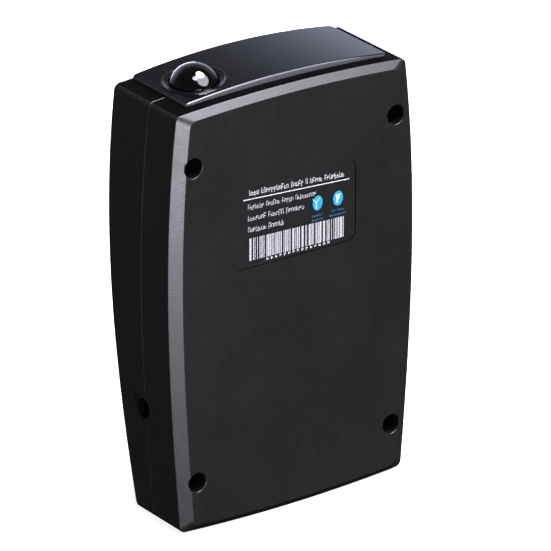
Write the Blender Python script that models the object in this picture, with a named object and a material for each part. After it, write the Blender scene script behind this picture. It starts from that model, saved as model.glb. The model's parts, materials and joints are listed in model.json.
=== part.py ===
"""Radar detector, standing on its display end: label side -Y, radar window +Z, power jack -X.

All lengths below are millimetres, measured from the label face (y = 0) and from the lowest point
of the display end (z = 0). The finished objects are in metres, centred in Y.
"""

import math

import bmesh
import bpy

MM = 0.001

# Housing
HEIGHT = 110.0
END_HALF_WIDTH = 33.06
WIDTH_GROWTH = 0.16
SIDE_BULGE = 2.969
BULGE_SKEW = -3.103
TOP_ARC_RISE = 1.33
TOP_ARC_HALF = 33.1
END_TILT = 0.35
BOTTOM_ARC_RISE = 1.2
FOOT_HALF = 4.5
CROWN_HALF = 2.0
CORNER_RADIUS = 1.7
FACE_CORNER_RADIUS = 2.0
BEVEL_SIDE = 3.29
BEVEL_TOP = 1.84
BEVEL_BOTTOM = 1.87
BEVEL_DEPTH = 1.54
REAR_START = 19.9
REAR_SLOPE = 7.5
REAR_CROWN = 7.1
REAR_ROUND = 0.5
WALL = 1.8
FLOOR = 2.2
SEAM = 12.6
SEAM_GAP = 0.3
GAP = 0.3

# Label
LABEL_HALF_X = 17.7
LABEL_Z = (66.0, 87.0)
LABEL_POCKET_DEPTH = 0.8
LABEL_THICK = 0.3
LABEL_CORNER = 2.2

# Housing screws: (x, z) of each recess
SCREW_SITES = ((-29.6, 95.4), (29.6, 95.4), (29.0, 14.1), (-29.0, 14.1))
RECESS_RADIUS = 2.6
RECESS_DEPTH = 9.0
BOSS_RADIUS = 4.2
POST_RADIUS = 3.4

# Window end
PLATE_X = (-28.6, 30.0)
PLATE_Y = (4.5, 27.0)
PLATE_EDGE_TOP = 109.95
PLATE_CROWN = 1.65
PLATE_CROWN_HALF = 28.0
PLATE_REAR_RISE = (0.42, 0.28)
PLATE_CORNER = 1.1
PLATE_EDGE = 0.35
WINDOW_X = (-11.0, 25.0)
WINDOW_Y = (6.5, 24.2)
DOME_X = -19.6
DOME_Y = 13.9
DOME_BASE_RADIUS = 5.97
DOME_SPHERE_RADIUS = 6.22
DOME_TOP = 115.26
DOME_WALL = 1.3
DOME_FLANGE_RADIUS = 6.8
RING_OUTER = 7.85
RING_INNER = 6.55
RING_THICK = 0.45
RING_PROUD = 0.15

# Power jack
JACK_Y = 14.15
JACK_Z = 30.0
JACK_HOLE_RADIUS = 2.45
JACK_BORE_RADIUS = 1.9
JACK_RECESS_Y = (8.4, 17.25)
JACK_RECESS_Z = (27.0, 33.0)
JACK_RECESS_DEPTH = 0.8

# Boards
BOARD_Y = (9.15, 10.75)
BOARD_TOP = 10.75
BOARD_SCREW_SITES = ((-18.0, 36.0), (20.0, 36.0), (-20.0, 84.0), (21.0, 84.0))

# Buttons
BUTTON_XS = (-17.0, 0.0, 17.0)
BUTTON_NAMES = ("left", "middle", "right")
BUTTON_Z = 24.0
BUTTON_HALF_X = 6.0
BUTTON_HALF_Z = 3.1
BUTTON_PROUD = 0.8
BUTTON_BOARD_Y = (13.9, 14.9)

# Speaker
SPEAKER_X = -14.0
SPEAKER_Z = 54.0
SPEAKER_RADIUS = 11.0


def side_half(z):
    """Half width of the housing at height z."""
    t = min(max(z / HEIGHT, 0.0), 1.0)
    bow = 4.0 * SIDE_BULGE * t * (1.0 - t)
    skew = BULGE_SKEW * t * (1.0 - t) * (1.0 - 2.0 * t)
    return END_HALF_WIDTH + WIDTH_GROWTH * t + bow + skew


def bottom_arc(x):
    return BOTTOM_ARC_RISE * (x / END_HALF_WIDTH) ** 2


def top_arc(x):
    return HEIGHT - TOP_ARC_RISE * (x / TOP_ARC_HALF) ** 2


def rear_y(z):
    """Depth of the rear broad face at height z."""
    t = min(max(z / HEIGHT, 0.0), 1.0)
    return REAR_START + REAR_SLOPE * t + REAR_CROWN * t * (1.0 - t)


DEPTH = rear_y(HEIGHT - REAR_ROUND + END_TILT)
SHIFT_Y = -0.5 * DEPTH


def end_lift(y):
    """How far the window end has risen at depth y: it leans up towards the rear."""
    return END_TILT * max(0.0, y - BEVEL_DEPTH) / (DEPTH - BEVEL_DEPTH)


def plate_top(x, y):
    arch = 1.0 - (x / PLATE_CROWN_HALF) ** 2
    share = (y - PLATE_Y[0]) / (PLATE_Y[1] - PLATE_Y[0])
    return PLATE_EDGE_TOP + PLATE_CROWN * arch + share * (PLATE_REAR_RISE[0] + PLATE_REAR_RISE[1] * arch)


def clear_scene():
    for obj in list(bpy.data.objects):
        bpy.data.objects.remove(obj)


def make_material(name, color, rough, metal=0.0, alpha=1.0):
    material = bpy.data.materials.new(name)
    material.use_nodes = True
    shader = material.node_tree.nodes["Principled BSDF"]
    shader.inputs["Base Color"].default_value = (*color, 1.0)
    shader.inputs["Roughness"].default_value = rough
    shader.inputs["Metallic"].default_value = metal
    shader.inputs["Alpha"].default_value = alpha
    return material


MATERIALS = {}


def material_of(name):
    return MATERIALS[name]


def finish(name, bm, material=None, origin=(0.0, 0.0, 0.0)):
    """Turns a bmesh in millimetres into an object in metres whose origin is at the given point."""
    bmesh.ops.recalc_face_normals(bm, faces=bm.faces[:])
    mesh = bpy.data.meshes.new(name)
    for vert in bm.verts:
        vert.co.x = (vert.co.x - origin[0]) * MM
        vert.co.y = (vert.co.y - origin[1]) * MM
        vert.co.z = (vert.co.z - origin[2]) * MM
    bm.to_mesh(mesh)
    bm.free()
    obj = bpy.data.objects.new(name, mesh)
    obj.location = (origin[0] * MM, (origin[1] + SHIFT_Y) * MM, origin[2] * MM)
    bpy.context.scene.collection.objects.link(obj)
    if material is None:
        obj.hide_render = True
        obj.display_type = "WIRE"
    else:
        mesh.materials.append(material_of(material))
    return obj


def add_loft(bm, loops, first="ngon", last="ngon"):
    """Skins a list of equal loops and closes both ends with one face or with strips."""
    rows = [[bm.verts.new(point) for point in loop] for loop in loops]
    count = len(rows[0])
    for lower, upper in zip(rows, rows[1:]):
        for i in range(count):
            j = (i + 1) % count
            bm.faces.new((lower[i], lower[j], upper[j], upper[i]))
    for row, kind in ((rows[0], first), (rows[-1], last)):
        if kind == "ngon":
            bm.faces.new(row)
            continue
        for i in range(count // 2 - 1):
            bm.faces.new((row[i], row[i + 1], row[count - 2 - i], row[count - 1 - i]))


def loft(name, loops, material=None, origin=(0.0, 0.0, 0.0), first="ngon", last="ngon"):
    bm = bmesh.new()
    add_loft(bm, loops, first, last)
    return finish(name, bm, material, origin)


def place(axis, a, b, c):
    """A point from two in-plane coordinates and one along the axis."""
    if axis == "x":
        return (c, a, b)
    if axis == "y":
        return (a, c, b)
    return (a, b, c)


def prism_loops(axis, polygon, low, high):
    return [[place(axis, a, b, low) for a, b in polygon], [place(axis, a, b, high) for a, b in polygon]]


def circle(a, b, radius, count=24):
    points = []
    for i in range(count):
        angle = 2.0 * math.pi * i / count
        points.append((a + radius * math.cos(angle), b + radius * math.sin(angle)))
    return points


def rounded(a0, a1, b0, b1, radius, steps=4):
    """Rounded rectangle from its two spans."""
    centres = ((a1 - radius, b1 - radius, 0), (a0 + radius, b1 - radius, 90))
    centres += ((a0 + radius, b0 + radius, 180), (a1 - radius, b0 + radius, 270))
    points = []
    for a, b, start in centres:
        for i in range(steps + 1):
            angle = math.radians(start + 90.0 * i / steps)
            points.append((a + radius * math.cos(angle), b + radius * math.sin(angle)))
    return points


def prism(name, axis, polygon, low, high, material=None, origin=(0.0, 0.0, 0.0)):
    return loft(name, prism_loops(axis, polygon, low, high), material, origin)


def prisms(name, parts, material=None):
    """Several separate prisms in one cutter: each is (axis, polygon, low, high)."""
    bm = bmesh.new()
    for axis, polygon, low, high in parts:
        add_loft(bm, prism_loops(axis, polygon, low, high))
    return finish(name, bm, material)


def block(name, spans, material, bevel=0.25):
    """Box from three spans, with its edges across Y bevelled at both ends."""
    (x0, x1), (y0, y1), (z0, z1) = spans
    inner = rounded(x0 + bevel, x1 - bevel, z0 + bevel, z1 - bevel, bevel, 2)
    outer = rounded(x0, x1, z0, z1, 2.0 * bevel, 2)
    loops = [[place("y", a, b, y0) for a, b in inner]]
    loops.append([place("y", a, b, y0 + bevel) for a, b in outer])
    loops.append([place("y", a, b, y1 - bevel) for a, b in outer])
    loops.append([place("y", a, b, y1) for a, b in inner])
    return loft(name, loops, material)


def turned(name, axis, centre, profile, material, count=24, origin=(0.0, 0.0, 0.0)):
    """Turned solid: the profile lists (radius, height) from one end to the other."""
    loops = []
    for radius, height in profile:
        loops.append([place(axis, a, b, height) for a, b in circle(centre[0], centre[1], radius, count)])
    return loft(name, loops, material, origin)


def boolean(target, cutter, operation):
    modifier = target.modifiers.new(operation.lower() + "_" + cutter.name, "BOOLEAN")
    modifier.operation = operation
    modifier.solver = "EXACT"
    modifier.object = cutter
    return modifier


def right_half(side_in, top_in, bottom_in, radius, steps):
    """Right half of the housing outline in X and Z, from the foot to the crown."""
    side_steps, arc_steps, end_steps = steps
    xc = END_HALF_WIDTH - side_in - radius
    zc = bottom_in + radius
    lean = 0.0
    tilt = 0.0
    for _ in range(30):
        tilt = math.atan(2.0 * BOTTOM_ARC_RISE * xc / END_HALF_WIDTH**2)
        lean = math.atan((side_half(zc + 0.5) - side_half(zc - 0.5)))
        xc = side_half(zc - radius * math.sin(lean)) - side_in - radius * math.cos(lean)
        zc = bottom_arc(xc + radius * math.sin(tilt)) + bottom_in + radius * math.cos(tilt)
    start_x = xc + radius * math.sin(tilt)
    points = [(FOOT_HALF, bottom_in)]
    for i in range(1, end_steps):
        x = FOOT_HALF + (start_x - FOOT_HALF) * i / end_steps
        points.append((x, bottom_arc(x) + bottom_in))
    for i in range(arc_steps + 1):
        angle = -0.5 * math.pi + tilt + (0.5 * math.pi - tilt - lean) * i / arc_steps
        points.append((xc + radius * math.cos(angle), zc + radius * math.sin(angle)))
    low_z = zc - radius * math.sin(lean)
    xc = END_HALF_WIDTH - side_in - radius
    zc = HEIGHT - top_in - radius
    for _ in range(30):
        tilt = math.atan(2.0 * TOP_ARC_RISE * xc / TOP_ARC_HALF**2)
        lean = math.atan((side_half(zc - 0.5) - side_half(zc + 0.5)))
        xc = side_half(zc + radius * math.sin(lean)) - side_in - radius * math.cos(lean)
        zc = top_arc(xc + radius * math.sin(tilt)) - top_in - radius * math.cos(tilt)
    high_z = zc + radius * math.sin(lean)
    for i in range(1, side_steps):
        z = low_z + (high_z - low_z) * i / side_steps
        points.append((side_half(z) - side_in, z))
    for i in range(arc_steps + 1):
        angle = lean + (0.5 * math.pi - tilt - lean) * i / arc_steps
        points.append((xc + radius * math.cos(angle), zc + radius * math.sin(angle)))
    end_x = xc + radius * math.sin(tilt)
    for i in range(1, end_steps):
        x = end_x + (CROWN_HALF - end_x) * i / end_steps
        points.append((x, top_arc(x) - top_in))
    points.append((CROWN_HALF, top_arc(0.0) - top_in))
    return points


def outline(side_in, top_in, bottom_in, radius, steps=(12, 4, 5)):
    half = right_half(side_in, top_in, bottom_in, radius, steps)
    return half + [(-x, z) for x, z in reversed(half)]


def flat_loop(points, y):
    return [(x, y, z) for x, z in points]


def rear_loop(points, below):
    return [(x, rear_y(z) - below, z) for x, z in points]


def build_lower_shell():
    outer = outline(0.0, 0.0, 0.0, CORNER_RADIUS)
    face = outline(BEVEL_SIDE, BEVEL_TOP, BEVEL_BOTTOM, FACE_CORNER_RADIUS)
    inner = outline(WALL, WALL, WALL, 1.2)
    floor = outline(WALL + 1.0, WALL + 0.5, WALL + 0.5, 1.0)
    rim = SEAM - 0.5 * SEAM_GAP
    rim_outer = outline(0.0, -end_lift(rim), 0.0, CORNER_RADIUS)
    loops = [flat_loop(face, 0.0), flat_loop(outer, BEVEL_DEPTH), flat_loop(rim_outer, rim)]
    loops += [flat_loop(inner, rim), flat_loop(inner, FLOOR + 1.0), flat_loop(floor, FLOOR)]
    shell = loft("lower_shell", loops, "housing")
    bosses = [("y", circle(x, z, BOSS_RADIUS, 20), 0.9, rim) for x, z in SCREW_SITES]
    boss_top = BOARD_Y[0] - GAP
    bosses += [("y", circle(x, z, 2.8, 16), 1.2, boss_top) for x, z in BOARD_SCREW_SITES]
    boolean(shell, prisms("lower_bosses", bosses), "UNION")
    trim = ring_cutter("lower_boss_trim", -1.0, rim + 1.0)
    boolean(shell, trim, "DIFFERENCE")
    cuts = [("y", circle(x, z, RECESS_RADIUS, 24), -2.0, RECESS_DEPTH) for x, z in SCREW_SITES]
    boolean(shell, prisms("lower_recess_cut", cuts), "DIFFERENCE")
    cuts = [("y", circle(x, z, 1.55, 16), 3.0, SEAM + 2.0) for x, z in SCREW_SITES]
    cuts += [("y", circle(x, z, 1.1, 12), 3.5, BOARD_TOP) for x, z in BOARD_SCREW_SITES]
    boolean(shell, prisms("lower_hole_cut", cuts), "DIFFERENCE")
    pocket = rounded(-LABEL_HALF_X, LABEL_HALF_X, LABEL_Z[0], LABEL_Z[1], LABEL_CORNER)
    boolean(shell, prism("label_pocket_cut", "y", pocket, -1.0, LABEL_POCKET_DEPTH), "DIFFERENCE")
    cut_openings(shell)
    return shell


def ring_cutter(name, low, high):
    """A thick collar round the housing that trims bosses flush with the outer wall."""
    inside = outline(0.0, 0.0, 0.0, CORNER_RADIUS)
    outside = [(1.3 * x, 1.2 * (z - 55.0) + 55.0) for x, z in inside]
    bm = bmesh.new()
    rows = []
    for points, y in ((inside, low), (inside, high), (outside, high), (outside, low)):
        rows.append([bm.verts.new((x, y, z)) for x, z in points])
    count = len(inside)
    for k in range(4):
        lower = rows[k]
        upper = rows[(k + 1) % 4]
        for i in range(count):
            j = (i + 1) % count
            bm.faces.new((lower[i], lower[j], upper[j], upper[i]))
    return finish(name, bm)


def build_upper_shell():
    rim = SEAM + 0.5 * SEAM_GAP
    loops = [flat_loop(outline(0.0, -end_lift(rim), 0.0, CORNER_RADIUS), rim)]
    for angle in (0.0, 30.0, 60.0, 90.0):
        inset = REAR_ROUND * (1.0 - math.cos(math.radians(angle)))
        below = REAR_ROUND * (1.0 - math.sin(math.radians(angle)))
        points = outline(inset, inset - END_TILT, inset, CORNER_RADIUS - 0.5 * inset)
        loops.append(rear_loop(points, below))
    inner = outline(WALL, WALL, WALL, 1.2)
    ceiling = outline(WALL + 0.6, WALL + 0.6, WALL + 0.6, 1.0)
    loops = list(reversed(loops))
    loops += [flat_loop(inner, rim), rear_loop(inner, WALL + 0.6), rear_loop(ceiling, WALL)]
    shell = loft("upper_shell", loops, "housing", first="strips", last="strips")
    posts = []
    for x, z in SCREW_SITES:
        posts.append(("y", circle(x, z, POST_RADIUS, 20), rim, rear_y(z) - 1.0))
    boolean(shell, prisms("upper_posts", posts), "UNION")
    collar_top = rear_y(SPEAKER_Z) - WALL + 0.9
    tube = circle(SPEAKER_X, SPEAKER_Z, SPEAKER_RADIUS + 1.3, 40)
    boolean(shell, prism("speaker_collar", "y", tube, 20.6, collar_top), "UNION")
    tube = circle(SPEAKER_X, SPEAKER_Z, SPEAKER_RADIUS + 0.3, 40)
    boolean(shell, prism("speaker_seat_cut", "y", tube, 18.0, 23.0), "DIFFERENCE")
    cuts = [("y", circle(x, z, 1.5, 16), 10.0, rear_y(z) - 3.2) for x, z in SCREW_SITES]
    boolean(shell, prisms("upper_hole_cut", cuts), "DIFFERENCE")
    cuts = []
    for x in BUTTON_XS:
        half_x = BUTTON_HALF_X + GAP
        half_z = BUTTON_HALF_Z + GAP
        shape = rounded(x - half_x, x + half_x, BUTTON_Z - half_z, BUTTON_Z + half_z, 1.5)
        cuts.append(("y", shape, 17.0, 30.0))
    boolean(shell, prisms("button_hole_cut", cuts), "DIFFERENCE")
    cuts = []
    for i in range(-3, 4):
        z = SPEAKER_Z + 2.6 * i
        reach = math.sqrt(81.0 - (2.6 * i) ** 2)
        shape = rounded(SPEAKER_X - reach, SPEAKER_X + reach, z - 0.5, z + 0.5, 0.49, 3)
        cuts.append(("y", shape, 20.0, 30.0))
    boolean(shell, prisms("grille_cut", cuts), "DIFFERENCE")
    cut_openings(shell)
    return shell


def cut_openings(shell):
    """Window, lens, display and jack openings, which cross the seam."""
    tag = shell.name.split("_")[0]
    window = rounded(*WINDOW_X, *WINDOW_Y, 1.5)
    lens = circle(DOME_X, DOME_Y, DOME_FLANGE_RADIUS + 0.35, 32)
    display = rounded(-15.5, 15.5, 5.0, 16.8, 1.0)
    parts = [("z", window, 104.0, 116.0), ("z", lens, 104.0, 116.0), ("z", display, -2.0, 5.0)]
    boolean(shell, prisms(tag + "_end_cut", parts), "DIFFERENCE")
    face = side_half(JACK_Z)
    recess = rounded(*JACK_RECESS_Y, *JACK_RECESS_Z, 0.6, 3)
    cutter = prism(tag + "_jack_recess_cut", "x", recess, -face - 2.0, JACK_RECESS_DEPTH - face)
    boolean(shell, cutter, "DIFFERENCE")
    hole = circle(JACK_Y, JACK_Z, JACK_HOLE_RADIUS, 24)
    cutter = prism(tag + "_jack_hole_cut", "x", hole, -face - 2.0, 4.0 - face)
    boolean(shell, cutter, "DIFFERENCE")


def build_window_plate():
    """Arched plate with a step that plugs the window opening."""
    x0, x1 = PLATE_X
    y0, y1 = PLATE_Y
    edge = PLATE_EDGE
    shape = rounded(x0, x1, y0, y1, PLATE_CORNER, 4)
    bevel = rounded(x0 + edge, x1 - edge, y0 + edge, y1 - edge, PLATE_CORNER - 0.3, 4)
    xs = [x0 + (x1 - x0) * i / 14.0 for i in range(15)]
    shape = subdivide_long(shape, xs)
    bevel = subdivide_long(bevel, xs)
    loops = [[(x, y, top_arc(x) + end_lift(y) + 0.25) for x, y in shape]]
    loops.append([(x, y, plate_top(x, y) - 0.3) for x, y in shape])
    loops.append([(x, y, plate_top(x, y)) for x, y in bevel])
    plate = grid_plate("window_plate", loops, "smoked_window")
    plug = rounded(WINDOW_X[0] + GAP, WINDOW_X[1] - GAP, WINDOW_Y[0] + GAP, WINDOW_Y[1] - GAP, 1.2)
    boolean(plate, prism("plate_plug", "z", plug, 107.9, 110.3), "UNION")
    lens_hole = circle(DOME_X, DOME_Y, DOME_BASE_RADIUS + GAP, 40)
    boolean(plate, prism("plate_lens_cut", "z", lens_hole, 100.0, 120.0), "DIFFERENCE")
    groove = ring_loops(RING_OUTER + 0.25, RING_PROUD - RING_THICK - 0.22, 5.0)
    boolean(plate, loft("plate_ring_cut", groove), "DIFFERENCE")
    return plate


def subdivide_long(shape, xs):
    """Adds points along the two long straight edges so that both can follow the arch."""
    result = []
    count = len(shape)
    for i in range(count):
        a = shape[i]
        b = shape[(i + 1) % count]
        result.append(a)
        if abs(a[0] - b[0]) < 10.0:
            continue
        inside = [x for x in xs if min(a[0], b[0]) + 1.0 < x < max(a[0], b[0]) - 1.0]
        if a[0] > b[0]:
            inside.reverse()
        result.extend((x, a[1]) for x in inside)
    return result


def grid_plate(name, loops, material):
    """Loft whose end faces are split into strips across the plate."""
    bm = bmesh.new()
    rows = [[bm.verts.new(point) for point in loop] for loop in loops]
    count = len(rows[0])
    for lower, upper in zip(rows, rows[1:]):
        for i in range(count):
            j = (i + 1) % count
            bm.faces.new((lower[i], lower[j], upper[j], upper[i]))
    for row in (rows[0], rows[-1]):
        back = [vert for vert in row if vert.co.y > 15.7]
        front = [vert for vert in row if vert.co.y <= 15.7]
        back.sort(key=lambda vert: (vert.co.x, vert.co.y * (1.0 if vert.co.x < 0.0 else -1.0)))
        front.sort(key=lambda vert: (vert.co.x, vert.co.y * (-1.0 if vert.co.x < 0.0 else 1.0)))
        for i in range(len(back) - 1):
            bm.faces.new((front[i], front[i + 1], back[i + 1], back[i]))
    return finish(name, bm, material)


def tilted(radius, height, count=40):
    """Circle round the dome axis on a plane that follows the plate's slope there."""
    slope_x = (plate_top(DOME_X + 1.0, DOME_Y) - plate_top(DOME_X - 1.0, DOME_Y)) / 2.0
    slope_y = (plate_top(DOME_X, DOME_Y + 1.0) - plate_top(DOME_X, DOME_Y - 1.0)) / 2.0
    base = plate_top(DOME_X, DOME_Y) + height
    points = []
    for x, y in circle(DOME_X, DOME_Y, radius, count):
        points.append((x, y, base + slope_x * (x - DOME_X) + slope_y * (y - DOME_Y)))
    return points


def ring_loops(radius, low, high):
    return [tilted(radius, low), tilted(radius, high)]


def build_lens_ring():
    bm = bmesh.new()
    low = RING_PROUD - RING_THICK
    high = RING_PROUD
    edge = 0.12
    stations = ((RING_INNER, low), (RING_INNER, high - edge), (RING_INNER + edge, high))
    stations += ((RING_OUTER - edge, high), (RING_OUTER, high - edge), (RING_OUTER, low))
    rows = [[bm.verts.new(point) for point in tilted(radius, height)] for radius, height in stations]
    count = len(rows[0])
    for k in range(len(rows)):
        lower = rows[k]
        upper = rows[(k + 1) % len(rows)]
        for i in range(count):
            j = (i + 1) % count
            bm.faces.new((lower[i], lower[j], upper[j], upper[i]))
    return finish("lens_ring", bm, "gloss_trim")


def build_dome_lens():
    centre = DOME_TOP - DOME_SPHERE_RADIUS
    profile = []
    inner = DOME_SPHERE_RADIUS - DOME_WALL
    for i in range(9):
        angle = math.radians(1.0 + 78.0 * i / 8.0)
        profile.append((inner * math.sin(angle), centre + inner * math.cos(angle)))
    profile.append((4.9, 108.2))
    profile.append((DOME_FLANGE_RADIUS, 108.2))
    profile.append((DOME_FLANGE_RADIUS, 109.05))
    profile.append((DOME_BASE_RADIUS, 109.05))
    last = math.asin(DOME_BASE_RADIUS / DOME_SPHERE_RADIUS)
    for i in range(12):
        angle = last * (1.0 - i / 12.0)
        radius = DOME_SPHERE_RADIUS * math.sin(angle)
        profile.append((radius, centre + DOME_SPHERE_RADIUS * math.cos(angle)))
    return turned("dome_lens", "z", (DOME_X, DOME_Y), profile, "dark_lens", 36)


def build_label():
    shape = rounded(GAP - LABEL_HALF_X, LABEL_HALF_X - GAP, LABEL_Z[0] + GAP, LABEL_Z[1] - GAP, 1.9)
    top = LABEL_POCKET_DEPTH - GAP
    return prism("rating_label", "y", shape, top - LABEL_THICK, top, "label_film")


def build_housing_screws():
    for index, (x, z) in enumerate(SCREW_SITES):
        head = RECESS_DEPTH - GAP
        tip = rear_y(z) - 4.0
        profile = [(1.1, head - 0.7), (1.35, head - 1.9), (1.9, head - 1.9), (2.25, head - 1.5)]
        profile += [(2.25, head), (1.15, head), (1.15, tip - 1.0), (0.5, tip)]
        turned("housing_screw_%d" % (index + 1), "y", (x, z), profile, "dark_steel", 16)


def build_display():
    shape = rounded(-15.2, 15.2, 5.3, 16.5, 0.8)
    flange = rounded(-17.2, 17.2, 4.0, 17.6, 0.8)
    loops = [[(x, y, 0.7) for x, y in shape], [(x, y, 2.6) for x, y in shape]]
    loops += [[(x, y, 2.6) for x, y in flange], [(x, y, 3.4) for x, y in flange]]
    loft("display_window", loops, "smoked_window")
    block("display_module", ((-15.5, 15.5), (5.4, 16.4), (3.7, 7.3)), "module_black", 0.3)
    block("display_board", ((-18.0, 18.0), (4.2, 17.2), (7.6, 8.6)), "board_green", 0.15)


def build_jack():
    face = side_half(JACK_Z)
    front = WALL + 0.3 - face
    barrel = JACK_RECESS_DEPTH - face
    square = rounded(JACK_Y - 3.0, JACK_Y + 3.0, JACK_Z - 3.0, JACK_Z + 3.0, 0.6, 5)
    ring = []
    for a, b in square:
        angle = math.atan2(b - JACK_Z, a - JACK_Y)
        ring.append((math.cos(angle), math.sin(angle)))

    def ring_loop(radius, x):
        return [(x, JACK_Y + radius * a, JACK_Z + radius * b) for a, b in ring]

    loops = [[(front + 10.5, a, b) for a, b in square], [(front, a, b) for a, b in square]]
    loops += [ring_loop(2.15, front), ring_loop(2.15, barrel + 0.15)]
    loops += [ring_loop(JACK_BORE_RADIUS, barrel), ring_loop(JACK_BORE_RADIUS, front + 9.0)]
    body = loft("dc_jack", loops, "module_black")
    pin_hole = prism("jack_pin_cut", "x", circle(JACK_Y, JACK_Z, 0.95, 12), front + 8.0, front + 12.0)
    boolean(body, pin_hole, "DIFFERENCE")
    profile = [(0.3, barrel + 2.2), (0.6, barrel + 2.7), (0.6, front + 10.2)]
    turned("dc_jack_pin", "x", (JACK_Y, JACK_Z), profile, "bright_metal", 12)


def build_main_board():
    half = [(24.0, 9.4), (24.0, 20.5), (30.5, 20.5), (30.5, 88.5), (24.0, 88.5), (24.0, 101.3)]
    shape = half + [(-x, z) for x, z in reversed(half)]
    board = prism("main_board", "y", shape, BOARD_Y[0], BOARD_Y[1], "board_green")
    holes = [("y", circle(x, z, 1.1, 12), 8.0, 12.0) for x, z in BOARD_SCREW_SITES]
    boolean(board, prisms("board_hole_cut", holes), "DIFFERENCE")
    for index, (x, z) in enumerate(BOARD_SCREW_SITES):
        head = BOARD_TOP + GAP
        profile = [(0.8, head + 0.6), (1.0, head + 1.2), (1.6, head + 1.0), (2.0, head + 0.4)]
        profile += [(2.0, head), (0.78, head), (0.78, 5.2), (0.4, 4.6)]
        turned("board_screw_%d" % (index + 1), "y", (x, z), profile, "dark_steel", 14)


def build_components():
    top = BOARD_TOP + GAP
    block("processor_chip", ((3.0, 13.0), (top, top + 1.2), (40.0, 50.0)), "chip_black", 0.2)
    block("voice_chip", ((-11.0, -3.0), (top, top + 1.3), (32.0, 37.0)), "chip_black", 0.2)
    block("memory_chip", ((17.0, 22.5), (top, top + 1.2), (46.0, 50.0)), "chip_black", 0.2)
    block("crystal_can", ((4.0, 12.0), (top, top + 3.0), (53.2, 56.6)), "bright_metal", 0.5)
    block("coil_block", ((8.0, 15.0), (top, top + 2.5), (14.0, 21.0)), "ferrite", 0.5)
    for name, x, z in (("capacitor_left", 26.0, 56.0), ("capacitor_right", 26.0, 66.0)):
        profile = [(3.0, top), (3.15, top + 0.4), (3.15, top + 0.9), (2.95, top + 1.2)]
        profile += [(3.15, top + 1.5), (3.15, top + 5.6), (2.8, top + 6.0)]
        turned(name, "y", (x, z), profile, "bright_metal", 18)


def rect_ring(x0, x1, y0, y1, z):
    return [(x0, y0, z), (x1, y0, z), (x1, y1, z), (x0, y1, z)]


def build_horn():
    """Flared horn, open at the window end and closed behind the wave guide."""
    loops = [rect_ring(1.0, 15.0, 11.2, 20.0, 58.0), rect_ring(1.0, 15.0, 11.2, 20.0, 76.0)]
    loops += [rect_ring(-9.0, 24.6, 11.2, 24.6, 106.4), rect_ring(-7.7, 23.3, 12.5, 23.3, 106.4)]
    loops += [rect_ring(2.2, 13.8, 12.4, 18.8, 76.4), rect_ring(2.2, 13.8, 12.4, 18.8, 59.4)]
    loft("horn_antenna", loops, "cast_metal")
    block("mixer_board", ((-0.5, 17.5), (20.3, 21.1), (58.0, 75.0)), "board_green", 0.15)
    block("rf_shield", ((1.0, 16.0), (21.4, 23.2), (60.0, 73.5)), "tin_plate", 0.35)


def build_laser():
    shape = rounded(DOME_X - 6.5, DOME_X + 6.5, 9.0, 20.5, 0.6, 2)
    prism("laser_board", "z", shape, 101.6, 102.6, "board_green")
    shape = rounded(DOME_X - 2.2, DOME_X + 2.2, DOME_Y - 2.0, DOME_Y + 2.4, 0.4, 2)
    prism("laser_sensor", "z", shape, 102.9, 104.6, "module_black")


def build_speaker():
    x = SPEAKER_X
    z = SPEAKER_Z
    profile = [(5.2, 17.2), (7.0, 17.5), (9.6, 19.6), (11.0, 20.2), (11.0, 21.6), (9.9, 21.6)]
    profile += [(9.4, 20.5), (6.2, 18.3), (4.0, 18.2)]
    turned("speaker_basket", "y", (x, z), profile, "tin_plate", 32)
    profile = [(6.0, 13.4), (6.4, 13.8), (6.4, 16.5), (6.0, 16.9)]
    turned("speaker_magnet", "y", (x, z), profile, "ferrite", 28)
    profile = [(1.0, 19.5), (2.6, 19.0), (3.4, 19.0), (8.4, 21.1), (9.0, 21.9), (9.9, 21.9)]
    profile += [(9.9, 22.2), (8.8, 22.2), (8.1, 21.5), (3.3, 19.4), (2.7, 19.4), (1.0, 19.9)]
    turned("speaker_cone", "y", (x, z), profile, "cone_paper", 32)


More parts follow.
